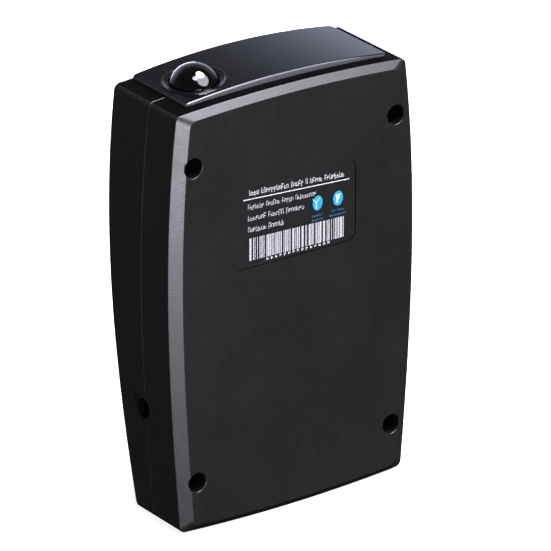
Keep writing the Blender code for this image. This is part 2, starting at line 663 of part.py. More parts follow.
def build_buttons():
    low, high = BUTTON_BOARD_Y
    shape = rounded(-22.0, 22.0, 16.0, 31.0, 1.0, 2)
    prism("button_board", "y", shape, low, high, "board_green")
    block("pin_header", ((-6.0, 6.0), (BOARD_TOP + GAP, low - GAP), (16.5, 19.0)), "module_black", 0.2)
    for name, x in (("board_standoff_left", -15.0), ("board_standoff_right", 19.0)):
        profile = [(1.7, BOARD_TOP + GAP), (2.0, BOARD_TOP + 0.6), (2.0, low - 0.6), (1.7, low - GAP)]
        turned(name, "y", (x, 28.5), profile, "bright_metal", 12)
    slope = (rear_y(BUTTON_Z + 1.0) - rear_y(BUTTON_Z - 1.0)) / 2.0
    middle = rear_y(BUTTON_Z)

    def slanted(x, half_x, half_z, radius, offset):
        loop = rounded(x - half_x, x + half_x, BUTTON_Z - half_z, BUTTON_Z + half_z, radius, 5)
        return [(a, middle + offset + slope * (b - BUTTON_Z), b) for a, b in loop]

    for name, x in zip(BUTTON_NAMES, BUTTON_XS):
        body_low = high + GAP
        body_high = body_low + 3.2
        shape = rounded(x - 3.0, x + 3.0, BUTTON_Z - 3.0, BUTTON_Z + 3.0, 0.5, 3)
        switch = prism("switch_body_" + name, "y", shape, body_low, body_high, "module_black")
        well = prism("switch_well_cut_" + name, "y", circle(x, BUTTON_Z, 1.95, 16), body_high - 1.4, 25.0)
        boolean(switch, well, "DIFFERENCE")
        pivot = (x, middle, BUTTON_Z)
        profile = [(1.5, body_high - 0.65), (1.6, body_high - 0.5)]
        profile += [(1.6, body_high + 0.5), (1.4, body_high + 0.7)]
        turned("switch_stem_" + name, "y", (x, BUTTON_Z), profile, "stem_red", 16, pivot)
        foot = body_high + 1.0
        stem = rounded(x - 1.2, x + 1.2, BUTTON_Z - 1.2, BUTTON_Z + 1.2, 0.9, 5)
        loops = [[(a, foot, b) for a, b in stem], [(a, middle - 3.0, b) for a, b in stem]]
        loops.append(slanted(x, 6.8, 3.9, 1.6, -2.9))
        loops.append(slanted(x, 6.8, 3.9, 1.6, -2.15))
        loops.append(slanted(x, BUTTON_HALF_X, BUTTON_HALF_Z, 1.2, -2.15))
        loops.append(slanted(x, BUTTON_HALF_X, BUTTON_HALF_Z, 1.2, BUTTON_PROUD - 0.35))
        loops.append(slanted(x, BUTTON_HALF_X - 0.35, BUTTON_HALF_Z - 0.35, 1.0, BUTTON_PROUD))
        loft("button_" + name, loops, "button_rubber", pivot)


def main():
    clear_scene()
    MATERIALS["housing"] = make_material("housing", (0.02, 0.02, 0.022), 0.5)
    MATERIALS["smoked_window"] = make_material("smoked_window", (0.01, 0.011, 0.014), 0.08)
    MATERIALS["dark_lens"] = make_material("dark_lens", (0.008, 0.008, 0.012), 0.04)
    MATERIALS["gloss_trim"] = make_material("gloss_trim", (0.015, 0.015, 0.018), 0.15)
    MATERIALS["label_film"] = make_material("label_film", (0.02, 0.02, 0.022), 0.4)
    MATERIALS["dark_steel"] = make_material("dark_steel", (0.08, 0.08, 0.085), 0.35, 1.0)
    MATERIALS["bright_metal"] = make_material("bright_metal", (0.6, 0.6, 0.6), 0.3, 1.0)
    MATERIALS["cast_metal"] = make_material("cast_metal", (0.45, 0.45, 0.44), 0.5, 1.0)
    MATERIALS["tin_plate"] = make_material("tin_plate", (0.55, 0.55, 0.53), 0.35, 1.0)
    MATERIALS["board_green"] = make_material("board_green", (0.02, 0.12, 0.05), 0.4)
    MATERIALS["module_black"] = make_material("module_black", (0.02, 0.02, 0.02), 0.45)
    MATERIALS["chip_black"] = make_material("chip_black", (0.03, 0.03, 0.03), 0.5)
    MATERIALS["ferrite"] = make_material("ferrite", (0.06, 0.06, 0.06), 0.6)
    MATERIALS["cone_paper"] = make_material("cone_paper", (0.05, 0.05, 0.045), 0.8)
    MATERIALS["button_rubber"] = make_material("button_rubber", (0.03, 0.03, 0.032), 0.6)
    MATERIALS["stem_red"] = make_material("stem_red", (0.2, 0.02, 0.02), 0.4)
    build_lower_shell()
    build_upper_shell()
    build_window_plate()
    build_lens_ring()
    build_dome_lens()
    build_label()
    build_housing_screws()
    build_display()
    build_jack()
    build_main_board()
    build_components()
    build_horn()
    build_laser()
    build_speaker()
    build_buttons()


main()
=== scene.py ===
"""Radar detector standing on its display end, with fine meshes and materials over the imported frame.

Shape helpers work in millimetres from the label face (y = 0) and from the foot (z = 0), and
meshes are stored in metres in the frame's own coordinates.
"""

import json
import math

import bmesh
import bpy
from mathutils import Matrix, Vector


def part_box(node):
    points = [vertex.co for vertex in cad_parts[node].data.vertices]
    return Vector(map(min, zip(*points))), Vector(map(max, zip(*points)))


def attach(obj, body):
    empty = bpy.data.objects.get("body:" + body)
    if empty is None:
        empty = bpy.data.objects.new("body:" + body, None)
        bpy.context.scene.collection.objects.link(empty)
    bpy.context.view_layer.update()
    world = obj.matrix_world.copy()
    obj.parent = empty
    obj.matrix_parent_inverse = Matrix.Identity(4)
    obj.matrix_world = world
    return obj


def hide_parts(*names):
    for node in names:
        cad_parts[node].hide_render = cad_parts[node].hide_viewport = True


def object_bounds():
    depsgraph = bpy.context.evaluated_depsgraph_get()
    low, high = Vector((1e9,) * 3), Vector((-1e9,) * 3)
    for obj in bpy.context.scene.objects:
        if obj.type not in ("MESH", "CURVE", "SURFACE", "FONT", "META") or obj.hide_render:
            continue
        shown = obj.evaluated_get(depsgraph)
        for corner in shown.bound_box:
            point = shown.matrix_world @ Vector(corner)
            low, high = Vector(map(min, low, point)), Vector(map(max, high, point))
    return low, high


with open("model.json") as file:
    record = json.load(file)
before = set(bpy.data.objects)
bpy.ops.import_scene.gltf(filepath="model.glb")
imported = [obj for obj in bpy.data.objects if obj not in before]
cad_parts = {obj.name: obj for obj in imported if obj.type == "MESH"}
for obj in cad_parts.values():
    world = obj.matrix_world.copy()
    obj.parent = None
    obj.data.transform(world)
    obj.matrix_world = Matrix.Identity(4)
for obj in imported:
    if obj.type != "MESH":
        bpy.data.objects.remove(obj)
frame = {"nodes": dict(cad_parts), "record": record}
cad_low, cad_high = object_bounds()

MM = 0.001
FACE_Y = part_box("lower_shell")[0].y

# Housing, as in the frame
HEIGHT = 110.0
END_HALF = 33.06
WIDTH_GROWTH = 0.16
SIDE_BULGE = 2.969
BULGE_SKEW = -3.103
TOP_RISE = 1.33
TOP_HALF = 33.1
END_TILT = 0.35
BOTTOM_RISE = 1.2
FOOT_HALF = 4.5
CROWN_HALF = 2.0
CORNER = 1.7
BEVEL = (3.29, 1.84, 1.87)
BEVEL_DEPTH = 1.54
REAR_ROUND = 0.4
WALL = 1.75
SEAM_REAR = 12.80  # where the rear half starts, behind the hairline seam
LABEL_HALF = 17.8
LABEL_Z = (66.05, 87.0)
SCREW_SITES = ((-29.6, 95.4), (29.6, 95.4), (29.0, 14.1), (-29.0, 14.1))
RECESS_RADIUS = 2.5  # the CAD's is 2.6
BOSS_RADIUS = 4.2
RECESS_DEPTH = 9.0
PLATE_X = (-28.6, 30.0)
PLATE_Y = (4.5, 27.0)
PLATE_EDGE_TOP = 109.95
PLATE_CROWN = 1.65
PLATE_CROWN_HALF = 28.0
PLATE_REAR_RISE = (0.42, 0.28)
DOME_X = -19.6
DOME_Y = 13.9
DOME_BASE = 5.97
DOME_SPHERE = 6.22
DOME_TOP = 115.215
RING_OUTER = 7.85
RING_INNER = 6.3
JACK_Y = 14.15
JACK_Z = 30.0
JACK_RECESS_Y = (8.4, 17.25)
JACK_RECESS_Z = (27.0, 33.0)
JACK_RECESS_SHOWN = 0.26  # shallower than the CAD's 0.8, so that the hole lands where the photo has it
BUTTON_XS = {"left": -17.0, "middle": 0.0, "right": 17.0}
BUTTON_Z = 24.0
BUTTON_HALF = (6.0, 3.1)
SPEAKER_X = -14.0
SPEAKER_Z = 54.0

# Camera and look
CAMERA_BACK = Vector((-0.5377, -0.7464, 0.3921)).normalized()
CAMERA_DISTANCE = 1.3116
CAMERA_LENS = 357.6
AIM = (-0.004859, 0.005438)
PANEL = 1.22  # strength of the bright panel low behind the object
AMBIENT = 0.11  # strength of the dim fill all round


def side_half(z):
    t = min(max(z / HEIGHT, 0.0), 1.0)
    bow = 4.0 * SIDE_BULGE * t * (1.0 - t)
    skew = BULGE_SKEW * t * (1.0 - t) * (1.0 - 2.0 * t)
    return END_HALF + WIDTH_GROWTH * t + bow + skew


def bottom_arc(x):
    return BOTTOM_RISE * (x / END_HALF) ** 2


def top_arc(x):
    return HEIGHT - TOP_RISE * (x / TOP_HALF) ** 2


def rear_y(z):
    t = min(max(z / HEIGHT, 0.0), 1.0)
    return 19.9 + 7.5 * t + 7.1 * t * (1.0 - t)


def end_lift(y):
    return END_TILT * max(0.0, y - BEVEL_DEPTH) / 25.86


def plate_top(x, y):
    arch = 1.0 - (x / PLATE_CROWN_HALF) ** 2
    share = (y - PLATE_Y[0]) / (PLATE_Y[1] - PLATE_Y[0])
    return PLATE_EDGE_TOP + PLATE_CROWN * arch + share * (PLATE_REAR_RISE[0] + PLATE_REAR_RISE[1] * arch)


# ---------------------------------------------------------------- mesh helpers


def finish(name, bm, smooth=True):
    bmesh.ops.recalc_face_normals(bm, faces=bm.faces[:])
    for vert in bm.verts:
        vert.co = Vector((vert.co.x * MM, vert.co.y * MM + FACE_Y, vert.co.z * MM))
    mesh = bpy.data.meshes.new(name)
    bm.to_mesh(mesh)
    bm.free()
    if smooth:
        mesh.shade_smooth()
    obj = bpy.data.objects.new(name, mesh)
    bpy.context.scene.collection.objects.link(obj)
    return obj


def add_loft(bm, loops, first="ngon", last="ngon"):
    rows = [[bm.verts.new(point) for point in loop] for loop in loops]
    count = len(rows[0])
    for lower, upper in zip(rows, rows[1:]):
        for i in range(count):
            j = (i + 1) % count
            bm.faces.new((lower[i], lower[j], upper[j], upper[i]))
    for row, kind in ((rows[0], first), (rows[-1], last)):
        if kind == "ngon":
            bm.faces.new(row)
        elif kind == "strips":
            for i in range(count // 2 - 1):
                bm.faces.new((row[i], row[i + 1], row[count - 2 - i], row[count - 1 - i]))
    if first == "join":
        for i in range(count):
            j = (i + 1) % count
            bm.faces.new((rows[-1][i], rows[-1][j], rows[0][j], rows[0][i]))


def loft(name, loops, first="ngon", last="ngon"):
    bm = bmesh.new()
    add_loft(bm, loops, first, last)
    return finish(name, bm)


def place(axis, a, b, c):
    if axis == "x":
        return (c, a, b)
    if axis == "y":
        return (a, c, b)
    return (a, b, c)


def circle(a, b, radius, count=48):
    return [
        (a + radius * math.cos(2.0 * math.pi * i / count), b + radius * math.sin(2.0 * math.pi * i / count))
        for i in range(count)
    ]


def rounded(a0, a1, b0, b1, radius, steps=8):
    centres = ((a1 - radius, b1 - radius, 0), (a0 + radius, b1 - radius, 90))
    centres += ((a0 + radius, b0 + radius, 180), (a1 - radius, b0 + radius, 270))
    points = []
    for a, b, start in centres:
        for i in range(steps + 1):
            angle = math.radians(start + 90.0 * i / steps)
            points.append((a + radius * math.cos(angle), b + radius * math.sin(angle)))
    return points


def prism_loops(axis, polygon, stations):
    """Loops of one polygon at several heights; a station may be (height, polygon)."""
    loops = []
    for station in stations:
        height, shape = station if isinstance(station, tuple) else (station, polygon)
        loops.append([place(axis, a, b, height) for a, b in shape])
    return loops


def turned_loops(axis, centre, profile, count=64):
    loops = []
    for radius, height in profile:
        loops.append([place(axis, a, b, height) for a, b in circle(centre[0], centre[1], radius, count)])
    return loops


def cutter(name, parts):
    """One cutter made of several closed lofts."""
    bm = bmesh.new()
    for loops in parts:
        add_loft(bm, loops)
    return finish(name, bm)


def carve(obj, steps, bevel=0.09, segments=2, angle=38.0):
    """Runs booleans in order, then rounds the sharp edges and evens the normals, all baked into the mesh."""
    for tool, operation in steps:
        modifier = obj.modifiers.new(tool.name, "BOOLEAN")
        modifier.operation = operation
        modifier.solver = "EXACT"
        modifier.object = tool
    if bevel:
        modifier = obj.modifiers.new("edges", "BEVEL")
        modifier.width = bevel * MM
        modifier.segments = segments
        modifier.limit_method = "ANGLE"
        modifier.angle_limit = math.radians(angle)
        modifier.use_clamp_overlap = True
        modifier.miter_outer = "MITER_ARC"
    modifier = obj.modifiers.new("normals", "WEIGHTED_NORMAL")
    modifier.mode = "FACE_AREA"
    modifier.weight = 50
    modifier.keep_sharp = False
    graph = bpy.context.evaluated_depsgraph_get()
    graph.update()
    baked = obj.evaluated_get(graph)
    mesh = bpy.data.meshes.new_from_object(baked, preserve_all_data_layers=True, depsgraph=graph)
    obj.modifiers.clear()
    obj.data = mesh
    for tool, _ in steps:
        bpy.data.objects.remove(tool)
    return obj


def dress(obj, body, slot, material, *nodes):
    """Gives a piece its material and body and hides the frame nodes it stands for; the slot argument is not
    used.
    """
    obj.data.materials.clear()
    obj.data.materials.append(material)
    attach(obj, body)
    if nodes:
        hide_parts(*nodes)
    return obj


# ---------------------------------------------------------------- materials


class Graph:
    """Small helper round a material's node tree."""

    def __init__(self, name):
        self.material = bpy.data.materials.new(name)
        self.material.use_nodes = True
        self.tree = self.material.node_tree
        self.shader = self.tree.nodes["Principled BSDF"]
        places = self.add("ShaderNodeTexCoord").outputs
        self.coords = places["Object"]
        self.normals = places["Normal"]

    def add(self, kind, **values):
        node = self.tree.nodes.new(kind)
        for key, value in values.items():
            setattr(node, key, value)
        return node

    def link(self, source, target):
        self.tree.links.new(source, target)

    def noise(self, scale, detail=3.0, rough=0.55, stretch=None):
        node = self.add("ShaderNodeTexNoise")
        node.inputs["Scale"].default_value = scale
        node.inputs["Detail"].default_value = detail
        node.inputs["Roughness"].default_value = rough
        source = self.coords
        if stretch:
            mapping = self.add("ShaderNodeMapping")
            mapping.inputs["Scale"].default_value = stretch
            self.link(source, mapping.inputs["Vector"])
            source = mapping.outputs["Vector"]
        self.link(source, node.inputs["Vector"])
        return node.outputs["Fac"]

    def cells(self, scale):
        node = self.add("ShaderNodeTexVoronoi")
        node.inputs["Scale"].default_value = scale
        self.link(self.coords, node.inputs["Vector"])
        return node.outputs["Distance"]

    def math(self, operation, a, b=None, clamp=False):
        node = self.add("ShaderNodeMath", operation=operation, use_clamp=clamp)
        for slot, value in zip(node.inputs, (a, b)):
            if value is None:
                continue
            if isinstance(value, (int, float)):
                slot.default_value = value
            else:
                self.link(value, slot)
        return node.outputs[0]

    def span(self, source, low, high, to_low, to_high):
        node = self.add("ShaderNodeMapRange")
        node.clamp = True
        self.link(source, node.inputs["Value"])
        for key, value in (("From Min", low), ("From Max", high), ("To Min", to_low), ("To Max", to_high)):
            node.inputs[key].default_value = value
        return node.outputs["Result"]

    def blend(self, factor, first, second):
        node = self.add("ShaderNodeMix", data_type="RGBA")
        self.link(factor, node.inputs["Factor"])
        for slot, value in ((node.inputs["A"], first), (node.inputs["B"], second)):
            if isinstance(value, tuple):
                slot.default_value = (*value, 1.0)
            else:
                self.link(value, slot)
        return node.outputs["Result"]

    def edge(self, radius):
        """1 along sharp edges and 0 on flats."""
        bevel = self.add("ShaderNodeBevel", samples=6)
        bevel.inputs["Radius"].default_value = radius * MM
        geometry = self.add("ShaderNodeNewGeometry")
        dot = self.add("ShaderNodeVectorMath", operation="DOT_PRODUCT")
        self.link(bevel.outputs["Normal"], dot.inputs[0])
        self.link(geometry.outputs["Normal"], dot.inputs[1])
        return self.span(dot.outputs["Value"], 1.0, 0.86, 0.0, 1.0)

    def facing(self, low, high, most=1.0, foot_only=False):
        """Rises to its most on faces that look along the long axis (or only down it), 0 on the others."""
        split = self.add("ShaderNodeSeparateXYZ")
        self.link(self.normals, split.inputs[0])
        operation, factor = ("MULTIPLY", -1.0) if foot_only else ("ABSOLUTE", None)
        return self.span(self.math(operation, split.outputs["Z"], factor), low, high, 0.0, most)

    def bump(self, *layers):
        """Stacks (height, distance in mm) layers into the normal."""
        normal = None
        for height, distance in layers:
            node = self.add("ShaderNodeBump")
            node.inputs["Strength"].default_value = 1.0
            node.inputs["Distance"].default_value = distance * MM
            self.link(height, node.inputs["Height"])
            if normal is not None:
                self.link(normal, node.inputs["Normal"])
            normal = node.outputs["Normal"]
        self.link(normal, self.shader.inputs["Normal"])

    def set(self, **values):
        names = {"ior": "IOR", "metal": "Metallic", "specular": "Specular IOR Level"}
        names["transmission"] = "Transmission Weight"
        for key, value in values.items():
            self.shader.inputs[names[key]].default_value = value


def moulded(name, dark, light, rough, grain=2600.0, depth=0.012, edge_wear_and_sheen=0.30, specular=0.5, end_shade=0.0):
    """Spark-eroded moulded plastic: fine grain, faint gloss patches, polished edges painted lighter as
    rubbed wear and painted highlight, rougher ends painted near black as painted shade.
    """
    g = Graph(name)
    cloud = g.noise(55.0, 4.0)
    patch = g.noise(520.0, 3.0)
    fine = g.noise(grain, 2.0, 0.6)
    pits = g.cells(grain * 0.8)
    edge = g.math("MULTIPLY", g.edge(0.30), g.span(patch, 0.35, 0.65, 0.35, 1.0))
    mottle = g.math("ADD", cloud, g.math("MULTIPLY", patch, 0.6))
    tone = g.blend(g.span(mottle, 0.6, 1.0, 0.0, 1.0), dark, light)
    # Sharp edges are painted lighter: partly rubbed wear, partly painted highlight along the edges.
    worn_and_sheen = tuple(min(1.0, 2.2 * c + 0.006) for c in light)
    tone = g.blend(g.math("MULTIPLY", edge, edge_wear_and_sheen), tone, worn_and_sheen)
    tone = g.blend(g.span(fine, 0.60, 0.8, 0.0, 0.30), tone, worn_and_sheen)
    gloss = g.span(cloud, 0.3, 0.7, rough - 0.012, rough + 0.012)
    gloss = g.math("ADD", gloss, g.span(patch, 0.3, 0.7, -0.02, 0.02))
    gloss = g.math("SUBTRACT", gloss, g.math("MULTIPLY", edge, 0.08), clamp=True)
    # Faces looking along the long axis, and the foot, are painted near black with weaker gloss: painted
    # shade.
    if end_shade:
        foot = g.facing(0.40, 0.76, 0.9, foot_only=True)
        painted_end_shade = g.math("MAXIMUM", g.facing(0.80, 0.94), foot)
        tone = g.blend(g.math("MULTIPLY", painted_end_shade, end_shade), tone, (0.0008, 0.0008, 0.0008))
        gloss = g.math("ADD", gloss, g.math("MULTIPLY", painted_end_shade, 0.15 * end_shade), clamp=True)
        level = g.span(painted_end_shade, 0.0, 1.0, specular, specular * (1.0 - end_shade))
        g.link(level, g.shader.inputs["Specular IOR Level"])
    g.link(tone, g.shader.inputs["Base Color"])
    g.link(gloss, g.shader.inputs["Roughness"])
    g.bump((fine, depth), (pits, depth * 0.7), (patch, 0.006))
    g.set(specular=specular)
    return g.material


def polished(name, color, rough, specular=0.5, smudge=0.06, wave=0.003, painted_wall_sheen=None):
    """Polished plastic: faint smudges, hairline scratches and a trace of moulding ripple."""
    g = Graph(name)
    haze = g.noise(95.0, 5.0, 0.62)
    ripple = g.noise(38.0, 1.5)
    hairs = g.noise(900.0, 1.0, 0.5, (1.0, 0.06, 0.4))
    edge = g.edge(0.25)
    light = tuple(min(1.0, 1.7 * c + 0.0008) for c in color)
    tone = g.blend(g.span(haze, 0.4, 0.75, 0.0, 0.7), color, light)
    # Side walls, when given, are painted a lighter grey than the top: painted reflection.
    if painted_wall_sheen:
        tone = g.blend(g.facing(0.25, 0.75), painted_wall_sheen, tone)
    g.link(g.blend(g.math("MULTIPLY", edge, 0.3), tone, light), g.shader.inputs["Base Color"])
    gloss = g.span(haze, 0.45, 0.8, rough, rough + smudge)
    gloss = g.math("ADD", gloss, g.span(hairs, 0.66, 0.72, 0.0, 0.04), clamp=True)
    g.link(gloss, g.shader.inputs["Roughness"])
    g.bump((ripple, wave), (hairs, 0.0005))
    g.set(specular=specular)
    return g.material


def metal(name, color, rough, brushed=(1.0, 1.0, 1.0), grain=1500.0, depth=0.004, tarnish=0.25):
    """Metal with brushing or casting grain, tarnish clouds and brighter rubbed edges."""
    g = Graph(name)
    cloud = g.noise(140.0, 4.0)
    fine = g.noise(grain, 3.0, 0.6, brushed)
    edge = g.edge(0.2)
    dull = tuple(c * (1.0 - tarnish) for c in color)
    tone = g.blend(g.span(cloud, 0.35, 0.7, 0.0, 1.0), color, dull)
    bright = tuple(min(1.0, 1.25 * c + 0.03) for c in color)
    g.link(g.blend(g.math("MULTIPLY", edge, 0.8), tone, bright), g.shader.inputs["Base Color"])
    gloss = g.span(fine, 0.3, 0.7, rough - 0.06, rough + 0.10)
    gloss = g.math("SUBTRACT", gloss, g.math("MULTIPLY", edge, 0.08), clamp=True)
    g.link(gloss, g.shader.inputs["Roughness"])
    g.bump((fine, depth), (cloud, 0.02))
    g.set(metal=1.0)
    return g.material


def circuit(name):
    """Solder mask over copper: pours, tracks and plated pads."""
    g = Graph(name)
    brick = g.add("ShaderNodeTexBrick")
    mapping = g.add("ShaderNodeMapping")
    mapping.inputs["Rotation"].default_value = (math.radians(90.0), 0.0, 0.0)
    g.link(g.coords, mapping.inputs["Vector"])
    g.link(mapping.outputs["Vector"], brick.inputs["Vector"])
    brick.inputs["Scale"].default_value = 240.0
    brick.inputs["Mortar Size"].default_value = 0.06
    brick.inputs["Color1"].default_value = (0.0, 0.0, 0.0, 1.0)
    brick.inputs["Color2"].default_value = (0.3, 0.3, 0.3, 1.0)
    brick.inputs["Mortar"].default_value = (1.0, 1.0, 1.0, 1.0)
    tracks = brick.outputs["Fac"]
    weave = g.noise(2200.0, 2.0)
    pads = g.span(g.cells(420.0), 0.10, 0.13, 1.0, 0.0)
    mask = g.blend(g.span(weave, 0.4, 0.6, 0.0, 1.0), (0.008, 0.075, 0.03), (0.012, 0.11, 0.045))
    mask = g.blend(tracks, mask, (0.03, 0.20, 0.08))
    g.link(g.blend(pads, mask, (0.62, 0.58, 0.45)), g.shader.inputs["Base Color"])
    g.link(g.math("MULTIPLY", pads, 0.9), g.shader.inputs["Metallic"])
    g.link(g.span(weave, 0.3, 0.7, 0.28, 0.42), g.shader.inputs["Roughness"])
    g.bump((tracks, 0.02), (pads, 0.02))
    return g.material


def paper(name, color):
    """Pressed fibre with concentric grain."""
    g = Graph(name)
    fibre = g.noise(1800.0, 5.0, 0.7)
    tone = g.blend(g.span(fibre, 0.35, 0.7, 0.0, 1.0), color, tuple(2.2 * c for c in color))
    g.link(tone, g.shader.inputs["Base Color"])
    g.link(g.span(fibre, 0.3, 0.7, 0.7, 0.9), g.shader.inputs["Roughness"])
    g.bump((fibre, 0.03))
    return g.material


def ink(name, color, rough=0.45):
    """Screen-printed ink: slightly uneven cover over the film."""
    g = Graph(name)
    cover = g.noise(3500.0, 2.0)
    faded = tuple(0.82 * c for c in color)
    g.link(g.blend(g.span(cover, 0.4, 0.7, 0.0, 1.0), color, faded), g.shader.inputs["Base Color"])
    g.link(g.span(cover, 0.3, 0.7, rough - 0.05, rough + 0.08), g.shader.inputs["Roughness"])
    g.bump((cover, 0.003))
    return g.material


def lens_material(name):
    """Dark infrared-clear plastic: clear enough at the rim to show its inner wall."""
    g = Graph(name)
    haze = g.noise(120.0, 4.0)
    tone = g.blend(g.span(haze, 0.4, 0.7, 0.0, 1.0), (0.040, 0.038, 0.050), (0.052, 0.050, 0.062))
    g.link(tone, g.shader.inputs["Base Color"])
    g.link(g.span(haze, 0.45, 0.8, 0.015, 0.035), g.shader.inputs["Roughness"])
    g.bump((g.noise(60.0, 1.0), 0.001))
    g.set(transmission=1.0, ior=1.5)
    return g.material


def greys(low, high):
    return (low, low, low), (high, high, high)


HOUSING_TONES = ((0.0034, 0.0033, 0.0031), (0.0046, 0.0045, 0.0042))
FILM_TONES = ((0.0036, 0.0035, 0.0033), (0.0048, 0.0047, 0.0044))
RUBBER_TONES = ((0.010, 0.010, 0.011), (0.013, 0.013, 0.014))
# Lighter grey of the plate's side walls: painted reflection.
PLATE_WALL_SHEEN = (0.040, 0.040, 0.043)
MATS = {
    # The housing's end faces and foot get painted shade (near black) through the end mask.
    "housing": moulded("housing", *HOUSING_TONES, 0.35, specular=0.36, end_shade=0.97),
    # Near-black, rough and dull: painted shade for the insides of openings.
    "recess": moulded("recess", *greys(0.0004, 0.0007), 0.75, edge_wear_and_sheen=0.05, specular=0.06),
    "smoked_window": polished("smoked_window", (0.0008, 0.0009, 0.0016), 0.06, 0.5, 0.04, painted_wall_sheen=PLATE_WALL_SHEEN),
    "dark_lens": lens_material("dark_lens"),
    "gloss_trim": polished("gloss_trim", (0.0014, 0.0014, 0.0018), 0.08, 0.5, 0.05),
    "label_film": moulded("label_film", *FILM_TONES, 0.35, 3400.0, 0.004, 0.1, 0.36),
    "dark_steel": metal("dark_steel", (0.055, 0.054, 0.058), 0.34),
    "bright_metal": metal("bright_metal", (0.62, 0.61, 0.58), 0.26),
    "cast_metal": metal("cast_metal", (0.42, 0.42, 0.41), 0.48, (1.0, 1.0, 1.0), 900.0, 0.03),
    "tin_plate": metal("tin_plate", (0.52, 0.52, 0.50), 0.30, (1.0, 1.0, 0.08), 1600.0, 0.003),
    "board_green": circuit("board_green"),
    "module_black": moulded("module_black", *greys(0.012, 0.018), 0.42),
    "chip_black": moulded("chip_black", *greys(0.016, 0.024), 0.5),
    "ferrite": moulded("ferrite", (0.03, 0.03, 0.03), (0.05, 0.048, 0.045), 0.62, 1800.0, 0.03),
    "cone_paper": paper("cone_paper", (0.02, 0.02, 0.018)),
    "button_rubber": moulded("button_rubber", *RUBBER_TONES, 0.5, 3000.0, 0.010, 0.25, 0.4),
    "stem_red": moulded("stem_red", (0.20, 0.012, 0.012), (0.26, 0.02, 0.018), 0.4),
}
INK_WHITE = ink("ink_white", (0.32, 0.32, 0.32))
INK_BARS = ink("ink_bars", (0.25, 0.25, 0.25))
INK_GREY = ink("ink_grey", (0.24, 0.24, 0.24))
INK_BLUE = ink("ink_blue", (0.003, 0.16, 0.29))
INK_DEEP_BLUE = ink("ink_deep_blue", (0.006, 0.045, 0.085))

slot_of = {part["node"]: part["material_slot"] for part in frame["record"]["subparts"]}
for node_name, node in frame["nodes"].items():
    node.data.materials.clear()
    node.data.materials.append(MATS[slot_of[node_name]])


# ---------------------------------------------------------------- housing


def right_half(side_in, top_in, bottom_in, radius):
    """Right half of the outline in X and Z, from the foot to the crown."""
    side_steps, arc_steps, end_steps = 36, 8, 12
    xc = END_HALF - side_in - radius
    zc = bottom_in + radius
    lean = tilt = 0.0
    for _ in range(30):
        tilt = math.atan(2.0 * BOTTOM_RISE * xc / END_HALF**2)
        lean = math.atan(side_half(zc + 0.5) - side_half(zc - 0.5))
        xc = side_half(zc - radius * math.sin(lean)) - side_in - radius * math.cos(lean)
        zc = bottom_arc(xc + radius * math.sin(tilt)) + bottom_in + radius * math.cos(tilt)
    start_x = xc + radius * math.sin(tilt)
    points = [(FOOT_HALF, bottom_in)]
    for i in range(1, end_steps):
        x = FOOT_HALF + (start_x - FOOT_HALF) * i / end_steps
        points.append((x, bottom_arc(x) + bottom_in))
    for i in range(arc_steps + 1):
        angle = -0.5 * math.pi + tilt + (0.5 * math.pi - tilt - lean) * i / arc_steps
        points.append((xc + radius * math.cos(angle), zc + radius * math.sin(angle)))
    low_z = zc - radius * math.sin(lean)
    xc = END_HALF - side_in - radius
    zc = HEIGHT - top_in - radius
    for _ in range(30):
        tilt = math.atan(2.0 * TOP_RISE * xc / TOP_HALF**2)
        lean = math.atan(side_half(zc - 0.5) - side_half(zc + 0.5))
        xc = side_half(zc + radius * math.sin(lean)) - side_in - radius * math.cos(lean)
        zc = top_arc(xc + radius * math.sin(tilt)) - top_in - radius * math.cos(tilt)
    high_z = zc + radius * math.sin(lean)
    for i in range(1, side_steps):
        z = low_z + (high_z - low_z) * i / side_steps
        points.append((side_half(z) - side_in, z))
    for i in range(arc_steps + 1):
        angle = lean + (0.5 * math.pi - tilt - lean) * i / arc_steps
        points.append((xc + radius * math.cos(angle), zc + radius * math.sin(angle)))
    end_x = xc + radius * math.sin(tilt)
    for i in range(1, end_steps):
        x = end_x + (CROWN_HALF - end_x) * i / end_steps
        points.append((x, top_arc(x) - top_in))
    points.append((CROWN_HALF, top_arc(0.0) - top_in))
    return points


def outline(inset, radius=None):
    """Closed outline. The inset is one number or (side, top, bottom)."""
    side_in, top_in, bottom_in = inset if isinstance(inset, tuple) else (inset, inset, inset)
    if radius is None:
        radius = max(0.6, CORNER - 0.5 * side_in)
    half = right_half(side_in, top_in, bottom_in, radius)
    return half + [(-x, z) for x, z in reversed(half)]


def flat_loop(points, y):
    return [(x, y, z) for x, z in points]


def outer_loop(inset, y):
    """Outer wall at depth y, whose window end leans up towards the rear."""
    return flat_loop(outline((inset, inset - end_lift(y), inset)), y)


def rear_loop(points, below):
    return [(x, rear_y(z) - below - 0.002, z) for x, z in points]


def curve3(a, b, c, steps):
    """Quadratic curve from a to c pulled towards b."""
    result = []
    for i in range(steps + 1):
        t = i / steps
        result.append(tuple((1 - t) ** 2 * p + 2 * t * (1 - t) * q + t * t * r for p, q, r in zip(a, b, c)))
    return result


def bevel_loop(k, y):
    """Outline part way across the bevel ring: k is 1 at the label face and 0 at the outer wall."""
    return flat_loop(outline(tuple(k * b for b in BEVEL), CORNER + 0.3 * k), y)


